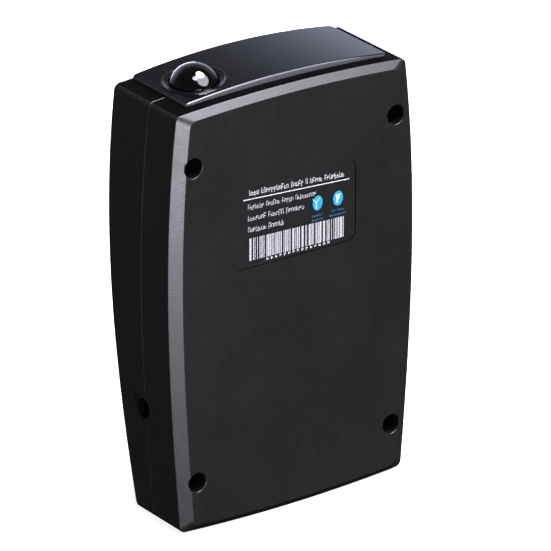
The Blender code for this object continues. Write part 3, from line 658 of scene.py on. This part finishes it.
def end_cutters(tag):
    window = rounded(-11.0, 25.0, 6.5, 24.2, 1.5)
    lens = circle(DOME_X, DOME_Y, 7.15, 64)
    display = rounded(-15.5, 15.5, 5.0, 16.8, 1.0)
    parts = [prism_loops("z", window, (104.0, 116.0)), prism_loops("z", lens, (104.0, 116.0))]
    mouth = rounded(-15.75, 15.75, 4.75, 17.05, 1.2)
    parts.append(prism_loops("z", display, ((-1.0, mouth), (0.0, mouth), (0.3, display), (5.0, display))))
    face = side_half(JACK_Z)
    recess = rounded(*JACK_RECESS_Y, *JACK_RECESS_Z, 0.7)
    wide = rounded(8.25, 17.29, 26.85, 33.15, 0.85)
    floor = -face + JACK_RECESS_SHOWN
    stations = ((-face - 2.0, wide), (-face + 0.02, wide), (-face + 0.10, recess), (floor, recess))
    first = cutter(tag + "_end_cut", parts + [prism_loops("x", recess, stations)])
    profile = ((2.6, -face), (2.6, floor), (2.42, floor + 0.15), (2.42, 4.0 - face))
    hole = turned_loops("x", (JACK_Y, JACK_Z), profile, 64)
    second = cutter(tag + "_jack_cut", [hole])
    return [(first, "DIFFERENCE"), (second, "DIFFERENCE")]


def recess_loops(x, z):
    """Deep round recess with a softly rolled lip."""
    profile = [(2.78, -2.0), (2.78, -0.02)]
    profile += [(r, y) for r, y in curve3((2.72, 0.0), (RECESS_RADIUS, 0.02), (RECESS_RADIUS, 0.27), 6)]
    profile += [(2.48, 6.0), (2.46, RECESS_DEPTH)]
    return turned_loops("y", (x, z), profile, 64)


def build_lower():
    loops = [bevel_loop(1.5, 0.0), bevel_loop(1.12, 0.0)]
    loops += [bevel_loop(k, y) for k, y in curve3((1.04, 0.0), (1.0, 0.0), (0.96, 0.0616), 4)]
    loops += [bevel_loop(k, BEVEL_DEPTH * (1.0 - k)) for k in (0.8, 0.5, 0.2)]
    loops += [bevel_loop(k, y) for k, y in curve3((0.045, 1.4707), (0.0, 1.54), (0.0, 1.72), 4)]
    loops += [outer_loop(0.0, y) for y in (3.5, 6.0, 9.0, 12.0, 12.42)]
    loops += [outer_loop(inset, y) for inset, y in ((0.05, 12.5), (0.14, 12.56), (0.9, 12.57), (0.95, 13.3))]
    loops += [flat_loop(outline(WALL), y) for y in (13.3, 3.2)]
    loops.append(flat_loop(outline(WALL + 1.0), 2.2))
    shell = loft("lower_shell_skin", loops)
    bosses = [prism_loops("y", circle(x, z, BOSS_RADIUS, 40), (1.6, 12.4)) for x, z in SCREW_SITES]
    inside = outline(0.25)
    outside = [(1.3 * x, 1.2 * (z - 55.0) + 55.0) for x, z in inside]
    bm = bmesh.new()
    stations = ((inside, 1.5), (inside, 13.5), (outside, 13.5), (outside, 1.5))
    ring = [flat_loop(shape, y) for shape, y in stations]
    add_loft(bm, ring, "join", "none")
    collar = finish("boss_trim", bm)
    boss = cutter("lower_bosses", bosses)
    trim = boss.modifiers.new("trim", "BOOLEAN")
    trim.operation = "DIFFERENCE"
    trim.solver = "EXACT"
    trim.object = collar
    pocket = rounded(-LABEL_HALF, LABEL_HALF, LABEL_Z[0], LABEL_Z[1], 2.2)
    pocket_cut = cutter("pocket", [prism_loops("y", pocket, (-1.0, 0.32))])
    recess = cutter("recess", [recess_loops(x, z) for x, z in SCREW_SITES])
    bores = cutter("bores", [prism_loops("y", circle(x, z, 1.5, 24), (8.0, 14.0)) for x, z in SCREW_SITES])
    steps = [(boss, "UNION"), (recess, "DIFFERENCE"), (bores, "DIFFERENCE"), (pocket_cut, "DIFFERENCE")]
    steps += end_cutters("lower")
    carve(shell, steps)
    bpy.data.objects.remove(collar)
    dress(shell, "housing", "housing", MATS["housing"], "lower_shell")
    return paint_opening_shade(shell)


def paint_opening_shade(shell):
    """Gives the screw recesses, the label pocket and the walls of the jack's recess the near-black recess
    material: painted shade inside the openings.
    """
    shell.data.materials.append(MATS["recess"])
    jack_x = -side_half(JACK_Z)
    for face in shell.data.polygons:
        x, y, z = face.center.x / MM, (face.center.y - FACE_Y) / MM, face.center.z / MM
        near = min(math.hypot(x - a, z - b) for a, b in SCREW_SITES)
        screw = near < RECESS_RADIUS and 0.27 < y < RECESS_DEPTH + 1.0
        pocket = abs(x) < LABEL_HALF + 0.01 and LABEL_Z[0] - 0.01 < z < LABEL_Z[1] + 0.01 and 0.1 < y < 0.33
        jack = x < jack_x + 4.0 and abs(z - JACK_Z) < 3.2 and 8.2 < y < 17.45 and abs(face.normal.x) < 0.97
        if screw or pocket or jack:
            face.material_index = 1
    return shell


def button_span(x, grow):
    """Edges of a button's outline, grown all round."""
    wide, tall = BUTTON_HALF
    return (x - wide - grow, x + wide + grow, BUTTON_Z - tall - grow, BUTTON_Z + tall + grow)


def build_upper():
    loops = []
    for i in range(7):
        angle = math.radians(90.0 - 15.0 * i)
        inset = REAR_ROUND * (1.0 - math.cos(angle))
        below = REAR_ROUND * (1.0 - math.sin(angle))
        loops.append(rear_loop(outline((inset, inset - END_TILT, inset), CORNER - 0.5 * inset), below))
    for share in (0.15, 0.35, 0.6, 0.85):
        wall = outline((0.0, -END_TILT + share * (END_TILT - end_lift(SEAM_REAR)), 0.0))
        loops.append([(x, (1 - share) * (rear_y(z) - REAR_ROUND) + share * SEAM_REAR, z) for x, z in wall])
    lip = ((0.0, SEAM_REAR), (0.03, 12.72), (0.13, 12.64), (0.8, 12.63))
    loops += [outer_loop(inset, y) for inset, y in lip]
    loops += [outer_loop(0.85, 13.5), flat_loop(outline(WALL), 13.5)]
    loops += [rear_loop(outline(WALL), WALL + 0.6), rear_loop(outline(WALL + 0.6), WALL)]
    shell = loft("upper_shell_skin", loops, "strips", "strips")
    tools = []
    holes = []
    slope = rear_slope(BUTTON_Z)
    for x in BUTTON_XS.values():
        stations = []
        for grow, offset in ((0.55, 3.0), (0.55, 0.01), (0.3, -0.25), (0.3, -5.0)):
            shape = rounded(*button_span(x, grow), 1.5 + grow)
            base = rear_y(BUTTON_Z) + offset
            stations.append([(a, base + slope * (b - BUTTON_Z), b) for a, b in shape])
        holes.append(stations)
    tools.append((cutter("button_holes", holes), "DIFFERENCE"))
    slots = []
    slope = rear_slope(SPEAKER_Z)
    for i in range(-3, 4):
        z = SPEAKER_Z + 2.6 * i
        reach = math.sqrt(81.0 - (2.6 * i) ** 2)
        stations = []
        for grow, offset in ((0.16, 3.0), (0.16, 0.005), (0.0, -0.16), (0.0, -6.0)):
            across = (SPEAKER_X - reach - grow, SPEAKER_X + reach + grow)
            shape = rounded(*across, z - 0.5 - grow, z + 0.5 + grow, 0.48 + grow, 6)
            stations.append([(a, rear_y(z) + offset + slope * (b - z), b) for a, b in shape])
        slots.append(stations)
    tools.append((cutter("grille", slots), "DIFFERENCE"))
    tools += end_cutters("upper")
    carve(shell, tools)
    dress(shell, "housing", "housing", MATS["housing"], "upper_shell")
    return paint_opening_shade(shell)


def rear_slope(z):
    return (rear_y(z + 1.0) - rear_y(z - 1.0)) / 2.0


# ---------------------------------------------------------------- window end


def build_plate():
    """Arched smoked plate with a rolled top edge and a hole for the domed lens."""
    x0, x1 = PLATE_X
    y0, y1 = PLATE_Y
    middle = 0.5 * (y0 + y1)

    def ring(inset, height):
        shape = rounded(x0 + inset, x1 - inset, y0 + inset, y1 - inset, 1.05 - 0.5 * inset, 6)
        result = []
        for i, a in enumerate(shape):
            b = shape[(i + 1) % len(shape)]
            result.append(a)
            if abs(a[0] - b[0]) > 10.0:
                result += [(a[0] + (b[0] - a[0]) * k / 56.0, a[1]) for k in range(1, 56)]
        return [(x, y, height(x, y)) for x, y in result]

    loops = [ring(0.0, lambda x, y: top_arc(x) + end_lift(y) + 0.04)]
    loops.append(ring(0.0, lambda x, y: 0.5 * (top_arc(x) + plate_top(x, y))))
    rolled = curve3((0.0, 0.34), (0.0, 0.27), (0.04, 0.22), 3)
    rolled += curve3((0.18, 0.06), (0.24, 0.0), (0.33, 0.0), 4)
    for inset, drop in rolled:
        loops.append(ring(inset, lambda x, y, d=drop: plate_top(x, y) - d))
    loops.append(ring(0.8, plate_top))
    bm = bmesh.new()
    rows = [[bm.verts.new(point) for point in loop] for loop in loops]
    count = len(rows[0])
    for lower, upper in zip(rows, rows[1:]):
        for i in range(count):
            j = (i + 1) % count
            bm.faces.new((lower[i], lower[j], upper[j], upper[i]))
    for row in (rows[0], rows[-1]):
        back = [vert for vert in row if vert.co.y > middle]
        front = [vert for vert in row if vert.co.y <= middle]
        back.sort(key=lambda vert: (round(vert.co.x, 4), vert.co.y * (1.0 if vert.co.x < 0.0 else -1.0)))
        front.sort(key=lambda vert: (round(vert.co.x, 4), vert.co.y * (-1.0 if vert.co.x < 0.0 else 1.0)))
        for i in range(len(back) - 1):
            bm.faces.new((front[i], front[i + 1], back[i + 1], back[i]))
    plate = finish("window_plate_skin", bm)
    plug = cutter("plug", [prism_loops("z", rounded(-10.7, 24.7, 6.8, 23.9, 1.2), (108.0, 110.1))])
    hole = circle(DOME_X, DOME_Y, DOME_BASE + 0.12, 96)
    lens = cutter("lens_hole", [prism_loops("z", hole, (100.0, 120.0))])
    groove = cutter("groove", [[tilted(RING_OUTER + 0.05, -0.4, 96), tilted(RING_OUTER + 0.05, 4.0, 96)]])
    carve(plate, [(plug, "UNION"), (lens, "DIFFERENCE"), (groove, "DIFFERENCE")], 0.04)
    return dress(plate, "housing", "smoked_window", MATS["smoked_window"], "window_plate")


def tilted(radius, height, count=96):
    """Circle round the lens axis on a plane that follows the plate's slope there."""
    slope_x = 0.5 * (plate_top(DOME_X + 1.0, DOME_Y) - plate_top(DOME_X - 1.0, DOME_Y))
    slope_y = 0.5 * (plate_top(DOME_X, DOME_Y + 1.0) - plate_top(DOME_X, DOME_Y - 1.0))
    base = plate_top(DOME_X, DOME_Y) + height
    points = circle(DOME_X, DOME_Y, radius, count)
    return [(x, y, base + slope_x * (x - DOME_X) + slope_y * (y - DOME_Y)) for x, y in points]


def build_ring():
    stations = [(RING_INNER, -0.34), (RING_INNER, -0.12)]
    stations += curve3((RING_INNER, -0.12), (RING_INNER + 0.05, -0.02), (RING_INNER + 0.35, -0.02), 4)[1:]
    stations += [(RING_OUTER - 0.42, -0.01)]
    stations += curve3((RING_OUTER - 0.42, 0.01), (RING_OUTER - 0.36, 0.10), (RING_OUTER - 0.22, 0.10), 3)
    stations += curve3((RING_OUTER - 0.16, 0.10), (RING_OUTER, 0.10), (RING_OUTER, -0.04), 4)
    stations.append((RING_OUTER, -0.34))
    bm = bmesh.new()
    add_loft(bm, [tilted(radius, height) for radius, height in stations], "join", "none")
    ring = finish("lens_ring_skin", bm)
    carve(ring, [], 0.0)
    return dress(ring, "housing", "gloss_trim", MATS["gloss_trim"], "lens_ring")


def build_dome():
    centre = DOME_TOP - DOME_SPHERE
    inner = DOME_SPHERE - 1.3
    profile = []
    for degrees in range(1, 80, 3):
        angle = math.radians(degrees)
        profile.append((inner * math.sin(angle), centre + inner * math.cos(angle)))
    profile += [(4.9, 108.25), (6.7, 108.25), (6.8, 108.35), (6.8, 108.95), (6.7, 109.05)]
    profile.append((DOME_BASE + 0.05, 109.05))
    last = math.degrees(math.asin(DOME_BASE / DOME_SPHERE))
    steps = 40
    for i in range(steps):
        angle = math.radians(last * (1.0 - i / steps))
        profile.append((max(0.01, DOME_SPHERE * math.sin(angle)), centre + DOME_SPHERE * math.cos(angle)))
    profile.append((0.02, DOME_TOP))
    dome = loft("dome_lens_skin", turned_loops("z", (DOME_X, DOME_Y), profile, 96))
    carve(dome, [], 0.0)
    return dress(dome, "housing", "dark_lens", MATS["dark_lens"], "dome_lens")


# ---------------------------------------------------------------- label


class Dice:
    """Small fixed sequence of numbers, the same on every run."""

    def __init__(self, seed):
        self.state = seed

    def next(self):
        self.state = (self.state * 1103515245 + 12345) % 2147483648
        return self.state / 2147483648.0


def skew(x, z):
    """The print sits a touch crooked in its pocket, more so towards the top."""
    return (x, z - x * (0.0171 + 0.00252 * (z - 67.8)))


def add_slab(bm, corners, low, high):
    """Thin four-sided slab between two depths, from its corners in X and Z."""
    near = [bm.verts.new((x, low, z)) for x, z in corners]
    far = [bm.verts.new((x, high, z)) for x, z in corners]
    bm.faces.new(near)
    bm.faces.new(far)
    for i in range(len(corners)):
        j = (i + 1) % len(corners)
        bm.faces.new((near[i], near[j], far[j], far[i]))


def rect(x0, x1, z0, z1):
    return [skew(x0, z0), skew(x1, z0), skew(x1, z1), skew(x0, z1)]


def greek(bm, words, x0, x1, z0, height, weight, seed):
    """A row of plain marks that reads as text from afar and spells nothing."""
    dice = Dice(seed)
    total = sum(words) + 0.8 * (len(words) - 1)
    step = (x1 - x0) / total
    x = x0
    for letters in words:
        for index in range(letters):
            width = step * 0.80
            tall = height if index == 0 or dice.next() > 0.72 else height * 0.72
            drop = -0.22 * height if dice.next() > 0.86 else 0.0
            bar = weight * step
            left, right = x, x + width
            kind = int(dice.next() * 4)
            add_slab(bm, rect(left, left + bar, z0 + drop, z0 + tall), *PRINT)
            if kind in (0, 1):
                add_slab(bm, rect(right - bar, right, z0, z0 + height * 0.72), *PRINT)
            if kind in (0, 2):
                add_slab(bm, rect(left + bar, right, z0 + tall - bar * 1.1, z0 + tall), *PRINT)
            if kind in (1, 3):
                add_slab(bm, rect(left + bar, right - bar * (kind == 1), z0, z0 + bar * 1.1), *PRINT)
            if kind in (2, 3):
                middle = z0 + 0.36 * height
                add_slab(bm, rect(left + bar, right, middle, middle + bar * 1.0), *PRINT)
            x += step
        x += 0.8 * step


def slabs(name, builder, material, slot="label_film"):
    bm = bmesh.new()
    builder(bm)
    obj = finish(name, bm, smooth=False)
    return dress(obj, "housing", slot, material)


FILM = 0.06
PRINT = (FILM - 0.022, FILM + 0.004)
RAISED = (FILM - 0.040, FILM - 0.015)

# Rows of marks: marks per group, left, right, foot, height, stroke weight and seed
TEXT_ROWS = (
    ((4, 11, 5, 1, 5, 8), -13.6, 14.4, 83.98, 1.36, 0.18, 7),
    ((7, 6, 5, 9), -13.95, 6.1, 80.52, 1.22, 0.13, 21),
    ((7, 6, 7), -13.95, 2.5, 77.72, 1.22, 0.13, 58),
    ((7, 6), -13.95, -3.3, 74.92, 1.22, 0.13, 93),
    ((1,) * 15, -8.6, 10.1, 66.98, 0.55, 0.26, 5),
)
CAPTION_ROWS = (
    ((6,), 4.9, 7.95, 74.85, 0.62, 0.26, 11),
    ((7,), 4.75, 8.15, 73.78, 0.62, 0.26, 12),
    ((3, 4), 10.6, 14.4, 75.1, 0.62, 0.26, 13),
    ((9,), 9.9, 15.1, 73.98, 0.62, 0.26, 14),
)


def build_label():
    left, right, low, high = 0.06 - LABEL_HALF, LABEL_HALF - 0.30, LABEL_Z[0] + 0.22, LABEL_Z[1] - 0.06
    shape = rounded(left, right, low, high, 2.1, 10)
    inner = rounded(left + 0.03, right - 0.03, low + 0.03, high - 0.03, 2.05, 10)
    stations = ((0.30, shape), (FILM + 0.02, shape), (FILM, inner))
    film = loft("rating_label_skin", prism_loops("y", shape, stations))
    carve(film, [], 0.0)
    dress(film, "housing", "label_film", MATS["label_film"], "rating_label")

    def white(bm):
        add_slab(bm, rect(-15.3, 15.8, 82.92, 83.16), *PRINT)
        for row in TEXT_ROWS:
            greek(bm, *row)
        add_slab(bm, rect(5.9, 6.2, 76.9, 78.6), *RAISED)
        for lean in (-1.0, 1.0):
            foot, tip = 6.05, 6.05 + 1.0 * lean
            low, high = 78.3, 79.35
            corners = [(foot - 0.15, low), (foot + 0.15, low), (tip + 0.15, high), (tip - 0.15, high)]
            add_slab(bm, corners, *RAISED)

    bars = Dice(31)

    def barcode(bm):
        x = -13.58
        while x < 14.2:
            width = (0.18, 0.26, 0.36, 0.6)[int(bars.next() * 4)]
            add_slab(bm, rect(x, min(x + width, 14.43), 67.78, 73.3), *PRINT)
            x += width + (0.16, 0.22, 0.30, 0.5)[int(bars.next() * 4)]

    def discs(bm):
        for x, z in ((6.45, 78.1), (12.5, 77.9)):
            loops = []
            for depth, grow in ((FILM + 0.004, 0.0), (FILM - 0.02, 0.0), (FILM - 0.028, -0.02)):
                wide, tall = 1.45 + grow, 1.88 + grow
                loops.append([(x + wide * math.cos(a), depth, z + tall * math.sin(a)) for a in turns(48)])
            add_loft(bm, loops)

    def captions(bm):
        for row in CAPTION_ROWS:
            greek(bm, *row)

    def symbol(bm):
        add_slab(bm, [(11.75, 78.55), (13.35, 78.55), (13.35, 79.0), (11.75, 79.0)], *RAISED)
        add_slab(bm, [(11.85, 77.55), (12.75, 77.55), (13.05, 78.45), (11.85, 78.45)], *RAISED)
        add_slab(bm, [(11.95, 76.7), (12.45, 76.7), (12.45, 77.5), (11.95, 77.5)], *RAISED)

    slabs("label_print_text", white, INK_WHITE)
    slabs("label_print_bars", barcode, INK_BARS)
    slabs("label_print_discs", discs, INK_BLUE)
    slabs("label_print_captions", captions, INK_DEEP_BLUE)
    slabs("label_print_symbol", symbol, INK_WHITE)


def turns(count):
    return [2.0 * math.pi * i / count for i in range(count)]


# ---------------------------------------------------------------- screws, jack, display, buttons


def corners_of(a, b, half_a, half_b):
    """Corners of a rectangle, from its centre and half sizes."""
    signs = ((-1, -1), (1, -1), (1, 1), (-1, 1))
    return [(a + i * half_a, b + j * half_b) for i, j in signs]


def build_screws():
    for index, (x, z) in enumerate(SCREW_SITES):
        low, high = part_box("housing_screw_%d" % (index + 1))
        tip = (high.y - FACE_Y) / MM
        head = RECESS_DEPTH - 0.3
        profile = [(0.3, head - 1.98), (1.2, head - 1.93), (1.8, head - 1.7), (2.15, head - 1.3)]
        profile += [(2.25, head - 0.9), (2.25, head), (1.15, head), (1.15, tip - 1.0), (0.5, tip)]
        screw = loft("housing_screw_skin_%d" % (index + 1), turned_loops("y", (x, z), profile, 40))
        cross = []
        for a, b in ((1.25, 0.30), (0.30, 1.25)):
            wide = corners_of(x, z, a, b)
            slim = corners_of(x, z, 0.5 * a, 0.7 * b)
            stations = ((head - 3.0, wide), (head - 1.9, wide), (head - 0.7, slim))
            cross.append(cutter("cross", [prism_loops("y", wide, stations)]))
        carve(screw, [(tool, "DIFFERENCE") for tool in cross], 0.05)
        dress(screw, "housing", "dark_steel", MATS["dark_steel"], "housing_screw_%d" % (index + 1))


def build_jack():
    face = side_half(JACK_Z)
    front = 2.1 - face
    barrel = 0.75 - face
    square = rounded(JACK_Y - 3.0, JACK_Y + 3.0, JACK_Z - 3.0, JACK_Z + 3.0, 0.6, 15)
    unit = []
    for a, b in square:
        angle = math.atan2(b - JACK_Z, a - JACK_Y)
        unit.append((math.cos(angle), math.sin(angle)))
    loops = [[(x, a, b) for a, b in square] for x in (front + 10.5, front)]
    stations = [(2.3, front), (2.3, barrel + 0.2), (2.18, barrel), (2.0, barrel)]
    stations += [(1.9, barrel + 0.1), (1.9, front + 8.8)]
    loops += [[(x, JACK_Y + r * a, JACK_Z + r * b) for a, b in unit] for r, x in stations]
    body = loft("dc_jack_skin", loops)
    carve(body, [], 0.08)
    # The jack's body takes the near-black recess material: painted shade inside its hole.
    dress(body, "housing", "module_black", MATS["recess"], "dc_jack")
    profile = [(0.15, barrel + 1.9), (0.42, barrel + 2.0), (0.6, barrel + 2.3), (0.6, front + 8.6)]
    pin = loft("dc_jack_pin_skin", turned_loops("x", (JACK_Y, JACK_Z), profile, 32))
    carve(pin, [], 0.0)
    dress(pin, "housing", "bright_metal", MATS["bright_metal"], "dc_jack_pin")


def build_display():
    shape = rounded(-15.3, 15.3, 5.2, 16.6, 0.85)
    small = rounded(-15.1, 15.1, 5.4, 16.4, 0.7)
    flange = rounded(-17.2, 17.2, 4.0, 17.6, 0.8)
    stations = ((0.62, small), (0.82, shape), (2.6, shape), (2.6, flange), (3.4, flange))
    window = loft("display_window_skin", prism_loops("z", shape, stations))
    carve(window, [], 0.06)
    dress(window, "housing", "smoked_window", MATS["smoked_window"], "display_window")


def build_buttons():
    slope = rear_slope(BUTTON_Z)
    middle = rear_y(BUTTON_Z)
    for name, x in BUTTON_XS.items():

        def slanted(grow, offset, radius=1.2, dish=0.0):
            shape = rounded(*button_span(x, grow), radius + grow * 0.8, 8)
            return [(a, middle + offset + slope * (b - BUTTON_Z) - dish, b) for a, b in shape]

        loops = [slanted(0.8, -2.9), slanted(0.8, -2.15), slanted(0.0, -2.15), slanted(0.0, 0.30)]
        for i in range(1, 6):
            angle = math.radians(18.0 * i)
            loops.append(slanted(-0.5 * (1.0 - math.cos(angle)), 0.30 + 0.5 * math.sin(angle)))
        loops.append(slanted(-1.1, 0.76, 1.3))
        loops.append(slanted(-2.0, 0.70, 2.2))
        cap = loft("button_cap_" + name, loops)
        carve(cap, [], 0.0)
        dress(cap, "press_" + name, "button_rubber", MATS["button_rubber"], "button_" + name)
        bm = bmesh.new()
        top = lambda b: middle + 0.70 + slope * (b - BUTTON_Z)
        if name == "left":
            add_arc(bm, x, BUTTON_Z, 0.75, 0.14, 300.0, 120.0, top)
            add_mark(bm, x - 0.08, x + 0.08, BUTTON_Z + 0.15, BUTTON_Z + 1.05, top)
        elif name == "middle":
            add_mark(bm, x + 0.55, x + 1.05, BUTTON_Z - 0.35, BUTTON_Z + 0.35, top)
            add_arc(bm, x + 0.45, BUTTON_Z, 0.60, 0.13, 90.0, 135.0, top)
            add_arc(bm, x + 0.45, BUTTON_Z, 1.10, 0.13, 90.0, 135.0, top)
        else:
            add_mark(bm, x - 0.9, x + 0.9, BUTTON_Z - 0.09, BUTTON_Z + 0.09, top)
            add_mark(bm, x - 0.09, x + 0.09, BUTTON_Z - 0.9, BUTTON_Z - 0.12, top)
            add_mark(bm, x - 0.09, x + 0.09, BUTTON_Z + 0.12, BUTTON_Z + 0.9, top)
        mark = finish("button_mark_" + name, bm, smooth=False)
        dress(mark, "press_" + name, "label_film", INK_GREY)


def add_mark(bm, x0, x1, z0, z1, top):
    corners = [(x0, z0), (x1, z0), (x1, z1), (x0, z1)]
    low = [bm.verts.new((a, top(b) - 0.01, b)) for a, b in corners]
    high = [bm.verts.new((a, top(b) + 0.02, b)) for a, b in corners]
    bm.faces.new(low)
    bm.faces.new(high)
    for i in range(4):
        j = (i + 1) % 4
        bm.faces.new((low[i], low[j], high[j], high[i]))


def add_arc(bm, x, z, radius, width, sweep, start, top, steps=20):
    """Flat arc mark built as a strip of quads with a little thickness."""
    sections = []
    for i in range(steps + 1):
        angle = math.radians(start + sweep * i / steps)
        section = []
        inner, outer = radius - width / 2, radius + width / 2
        for r, rise in ((inner, -0.01), (outer, -0.01), (outer, 0.02), (inner, 0.02)):
            a = x + r * math.cos(angle)
            b = z + r * math.sin(angle)
            section.append(bm.verts.new((a, top(b) + rise, b)))
        sections.append(section)
    for a, b in zip(sections, sections[1:]):
        for i in range(4):
            j = (i + 1) % 4
            bm.faces.new((a[i], a[j], b[j], b[i]))
    bm.faces.new(sections[0])
    bm.faces.new(sections[-1])


build_lower()
build_upper()
build_plate()
build_ring()
build_dome()
build_label()
build_screws()
build_jack()
build_display()
build_buttons()


# ---------------------------------------------------------------- stage, lights and camera


def softbox(name, direction, distance, size, radiance, color=(1.0, 1.0, 1.0), target=(0.0, 0.0, 0.055)):
    """Area light that faces the object, hidden from the camera: two sizes make a box, one a disc."""
    data = bpy.data.lights.new(name, "AREA")
    if isinstance(size, tuple):
        data.shape = "RECTANGLE"
        data.size, data.size_y = size
        data.energy = radiance * math.pi * size[0] * size[1]
    else:
        data.shape = "DISK"
        data.size = size
        data.energy = radiance * math.pi * 0.25 * math.pi * size * size
    data.color = color
    lamp = bpy.data.objects.new(name, data)
    way = Vector(direction).normalized()
    lamp.location = Vector(target) + way * distance
    lamp.rotation_mode = "QUATERNION"
    lamp.rotation_quaternion = way.to_track_quat("Z", "Y")
    lamp.visible_camera = False
    bpy.context.scene.collection.objects.link(lamp)
    return lamp


def build_stage():
    bm = bmesh.new()
    bmesh.ops.create_grid(bm, x_segments=8, y_segments=8, size=4.0)
    mesh = bpy.data.meshes.new("floor")
    bm.to_mesh(mesh)
    bm.free()
    floor = bpy.data.objects.new("floor", mesh)
    floor.location.z = cad_low.z - 0.0001
    bpy.context.scene.collection.objects.link(floor)
    g = Graph("floor_paper")
    tooth = g.noise(900.0, 3.0)
    g.link(g.blend(g.span(tooth, 0.3, 0.7, 0.0, 1.0), *greys(0.40, 0.44)), g.shader.inputs["Base Color"])
    g.link(g.span(tooth, 0.3, 0.7, 0.85, 0.95), g.shader.inputs["Roughness"])
    g.shader.inputs["Emission Color"].default_value = (1.0, 1.0, 1.0, 1.0)
    g.shader.inputs["Emission Strength"].default_value = 0.88
    g.set(specular=0.1)
    mesh.materials.append(g.material)
    floor.visible_glossy = False
    floor.visible_shadow = False
    floor.visible_diffuse = False


def build_world():
    """White surround for the camera; dim fill and one soft bright panel behind the object for the rest."""
    world = bpy.data.worlds.new("studio")
    bpy.context.scene.world = world
    world.use_nodes = True
    tree = world.node_tree
    background = tree.nodes["Background"]

    def node(kind, **values):
        made = tree.nodes.new(kind)
        for key, value in values.items():
            setattr(made, key, value)
        return made

    def reach(way, low, high, least=0.0):
        dot = node("ShaderNodeVectorMath", operation="DOT_PRODUCT")
        tree.links.new(coords, dot.inputs[0])
        dot.inputs[1].default_value = way
        span = node("ShaderNodeMapRange", interpolation_type="SMOOTHSTEP")
        tree.links.new(dot.outputs["Value"], span.inputs["Value"])
        span.inputs["From Min"].default_value = low
        span.inputs["From Max"].default_value = high
        span.inputs["To Min"].default_value = least
        return span.outputs["Result"]

    def times(a, b):
        made = node("ShaderNodeMath", operation="MULTIPLY")
        for slot, value in zip(made.inputs, (a, b)):
            if isinstance(value, float):
                slot.default_value = value
            else:
                tree.links.new(value, slot)
        return made.outputs[0]

    coords = node("ShaderNodeTexCoord").outputs["Generated"]
    panel = times(reach((0.46, 0.89, 0.0), 0.62, 0.90), reach((0.0, 0.0, -1.0), -0.51, -0.12))
    panel = times(panel, reach((0.0, 0.0, 1.0), -0.55, -0.25))
    tree.links.new(times(reach((0.0, 0.0, 1.0), -0.80, -0.10, 0.25), AMBIENT), background.inputs["Strength"])
    background.inputs["Color"].default_value = (1.0, 1.0, 0.97, 1.0)
    sheet = node("ShaderNodeBackground")
    sheet.inputs["Color"].default_value = (0.70, 0.78, 1.0, 1.0)
    tree.links.new(times(panel, PANEL), sheet.inputs["Strength"])
    both = node("ShaderNodeAddShader")
    tree.links.new(background.outputs[0], both.inputs[0])
    tree.links.new(sheet.outputs[0], both.inputs[1])
    bright = node("ShaderNodeBackground")
    path = node("ShaderNodeLightPath")
    mix = node("ShaderNodeMixShader")
    tree.links.new(path.outputs["Is Camera Ray"], mix.inputs["Fac"])
    tree.links.new(both.outputs[0], mix.inputs[1])
    tree.links.new(bright.outputs[0], mix.inputs[2])
    tree.links.new(mix.outputs[0], tree.nodes["World Output"].inputs["Surface"])


def build_lights():
    lavender = (0.885, 0.885, 1.0)
    softbox("key_left", (-0.27, -0.95, -0.10), 0.9, (0.32, 0.40), 34.0, lavender)
    softbox("key_front", (0.25, -0.60, 0.74), 1.0, 0.94, 11.0, lavender)
    softbox("key_top", (0.25, -0.233, 0.93), 1.0, 0.56, 48.0, lavender)
    softbox("key_top_small", (-0.184, -0.369, 0.911), 1.0, 0.34, 22.0, lavender)
    softbox("rim_back", (0.26, 0.95, -0.12), 1.0, (0.70, 0.20), 6.0, lavender)
    softbox("side_strip", (-0.80, -0.45, -0.25), 0.8, (0.25, 0.5), 1.2)


def build_camera():
    data = bpy.data.cameras.new("camera")
    data.lens = CAMERA_LENS
    data.sensor_width = 36.0
    data.clip_start = 0.05
    data.clip_end = 50.0
    camera = bpy.data.objects.new("camera", data)
    bpy.context.scene.collection.objects.link(camera)
    right = (-CAMERA_BACK).cross(Vector((0.0, 0.0, 1.0))).normalized()
    up = right.cross(-CAMERA_BACK)
    aim = Vector((0.0, FACE_Y, 0.055)) + right * AIM[0] + up * AIM[1]
    camera.location = aim + CAMERA_BACK * CAMERA_DISTANCE
    camera.rotation_mode = "QUATERNION"
    camera.rotation_quaternion = CAMERA_BACK.to_track_quat("Z", "Y")
    bpy.context.scene.camera = camera


build_stage()
build_world()
build_lights()
build_camera()
bpy.context.scene.view_settings.view_transform = "Standard"
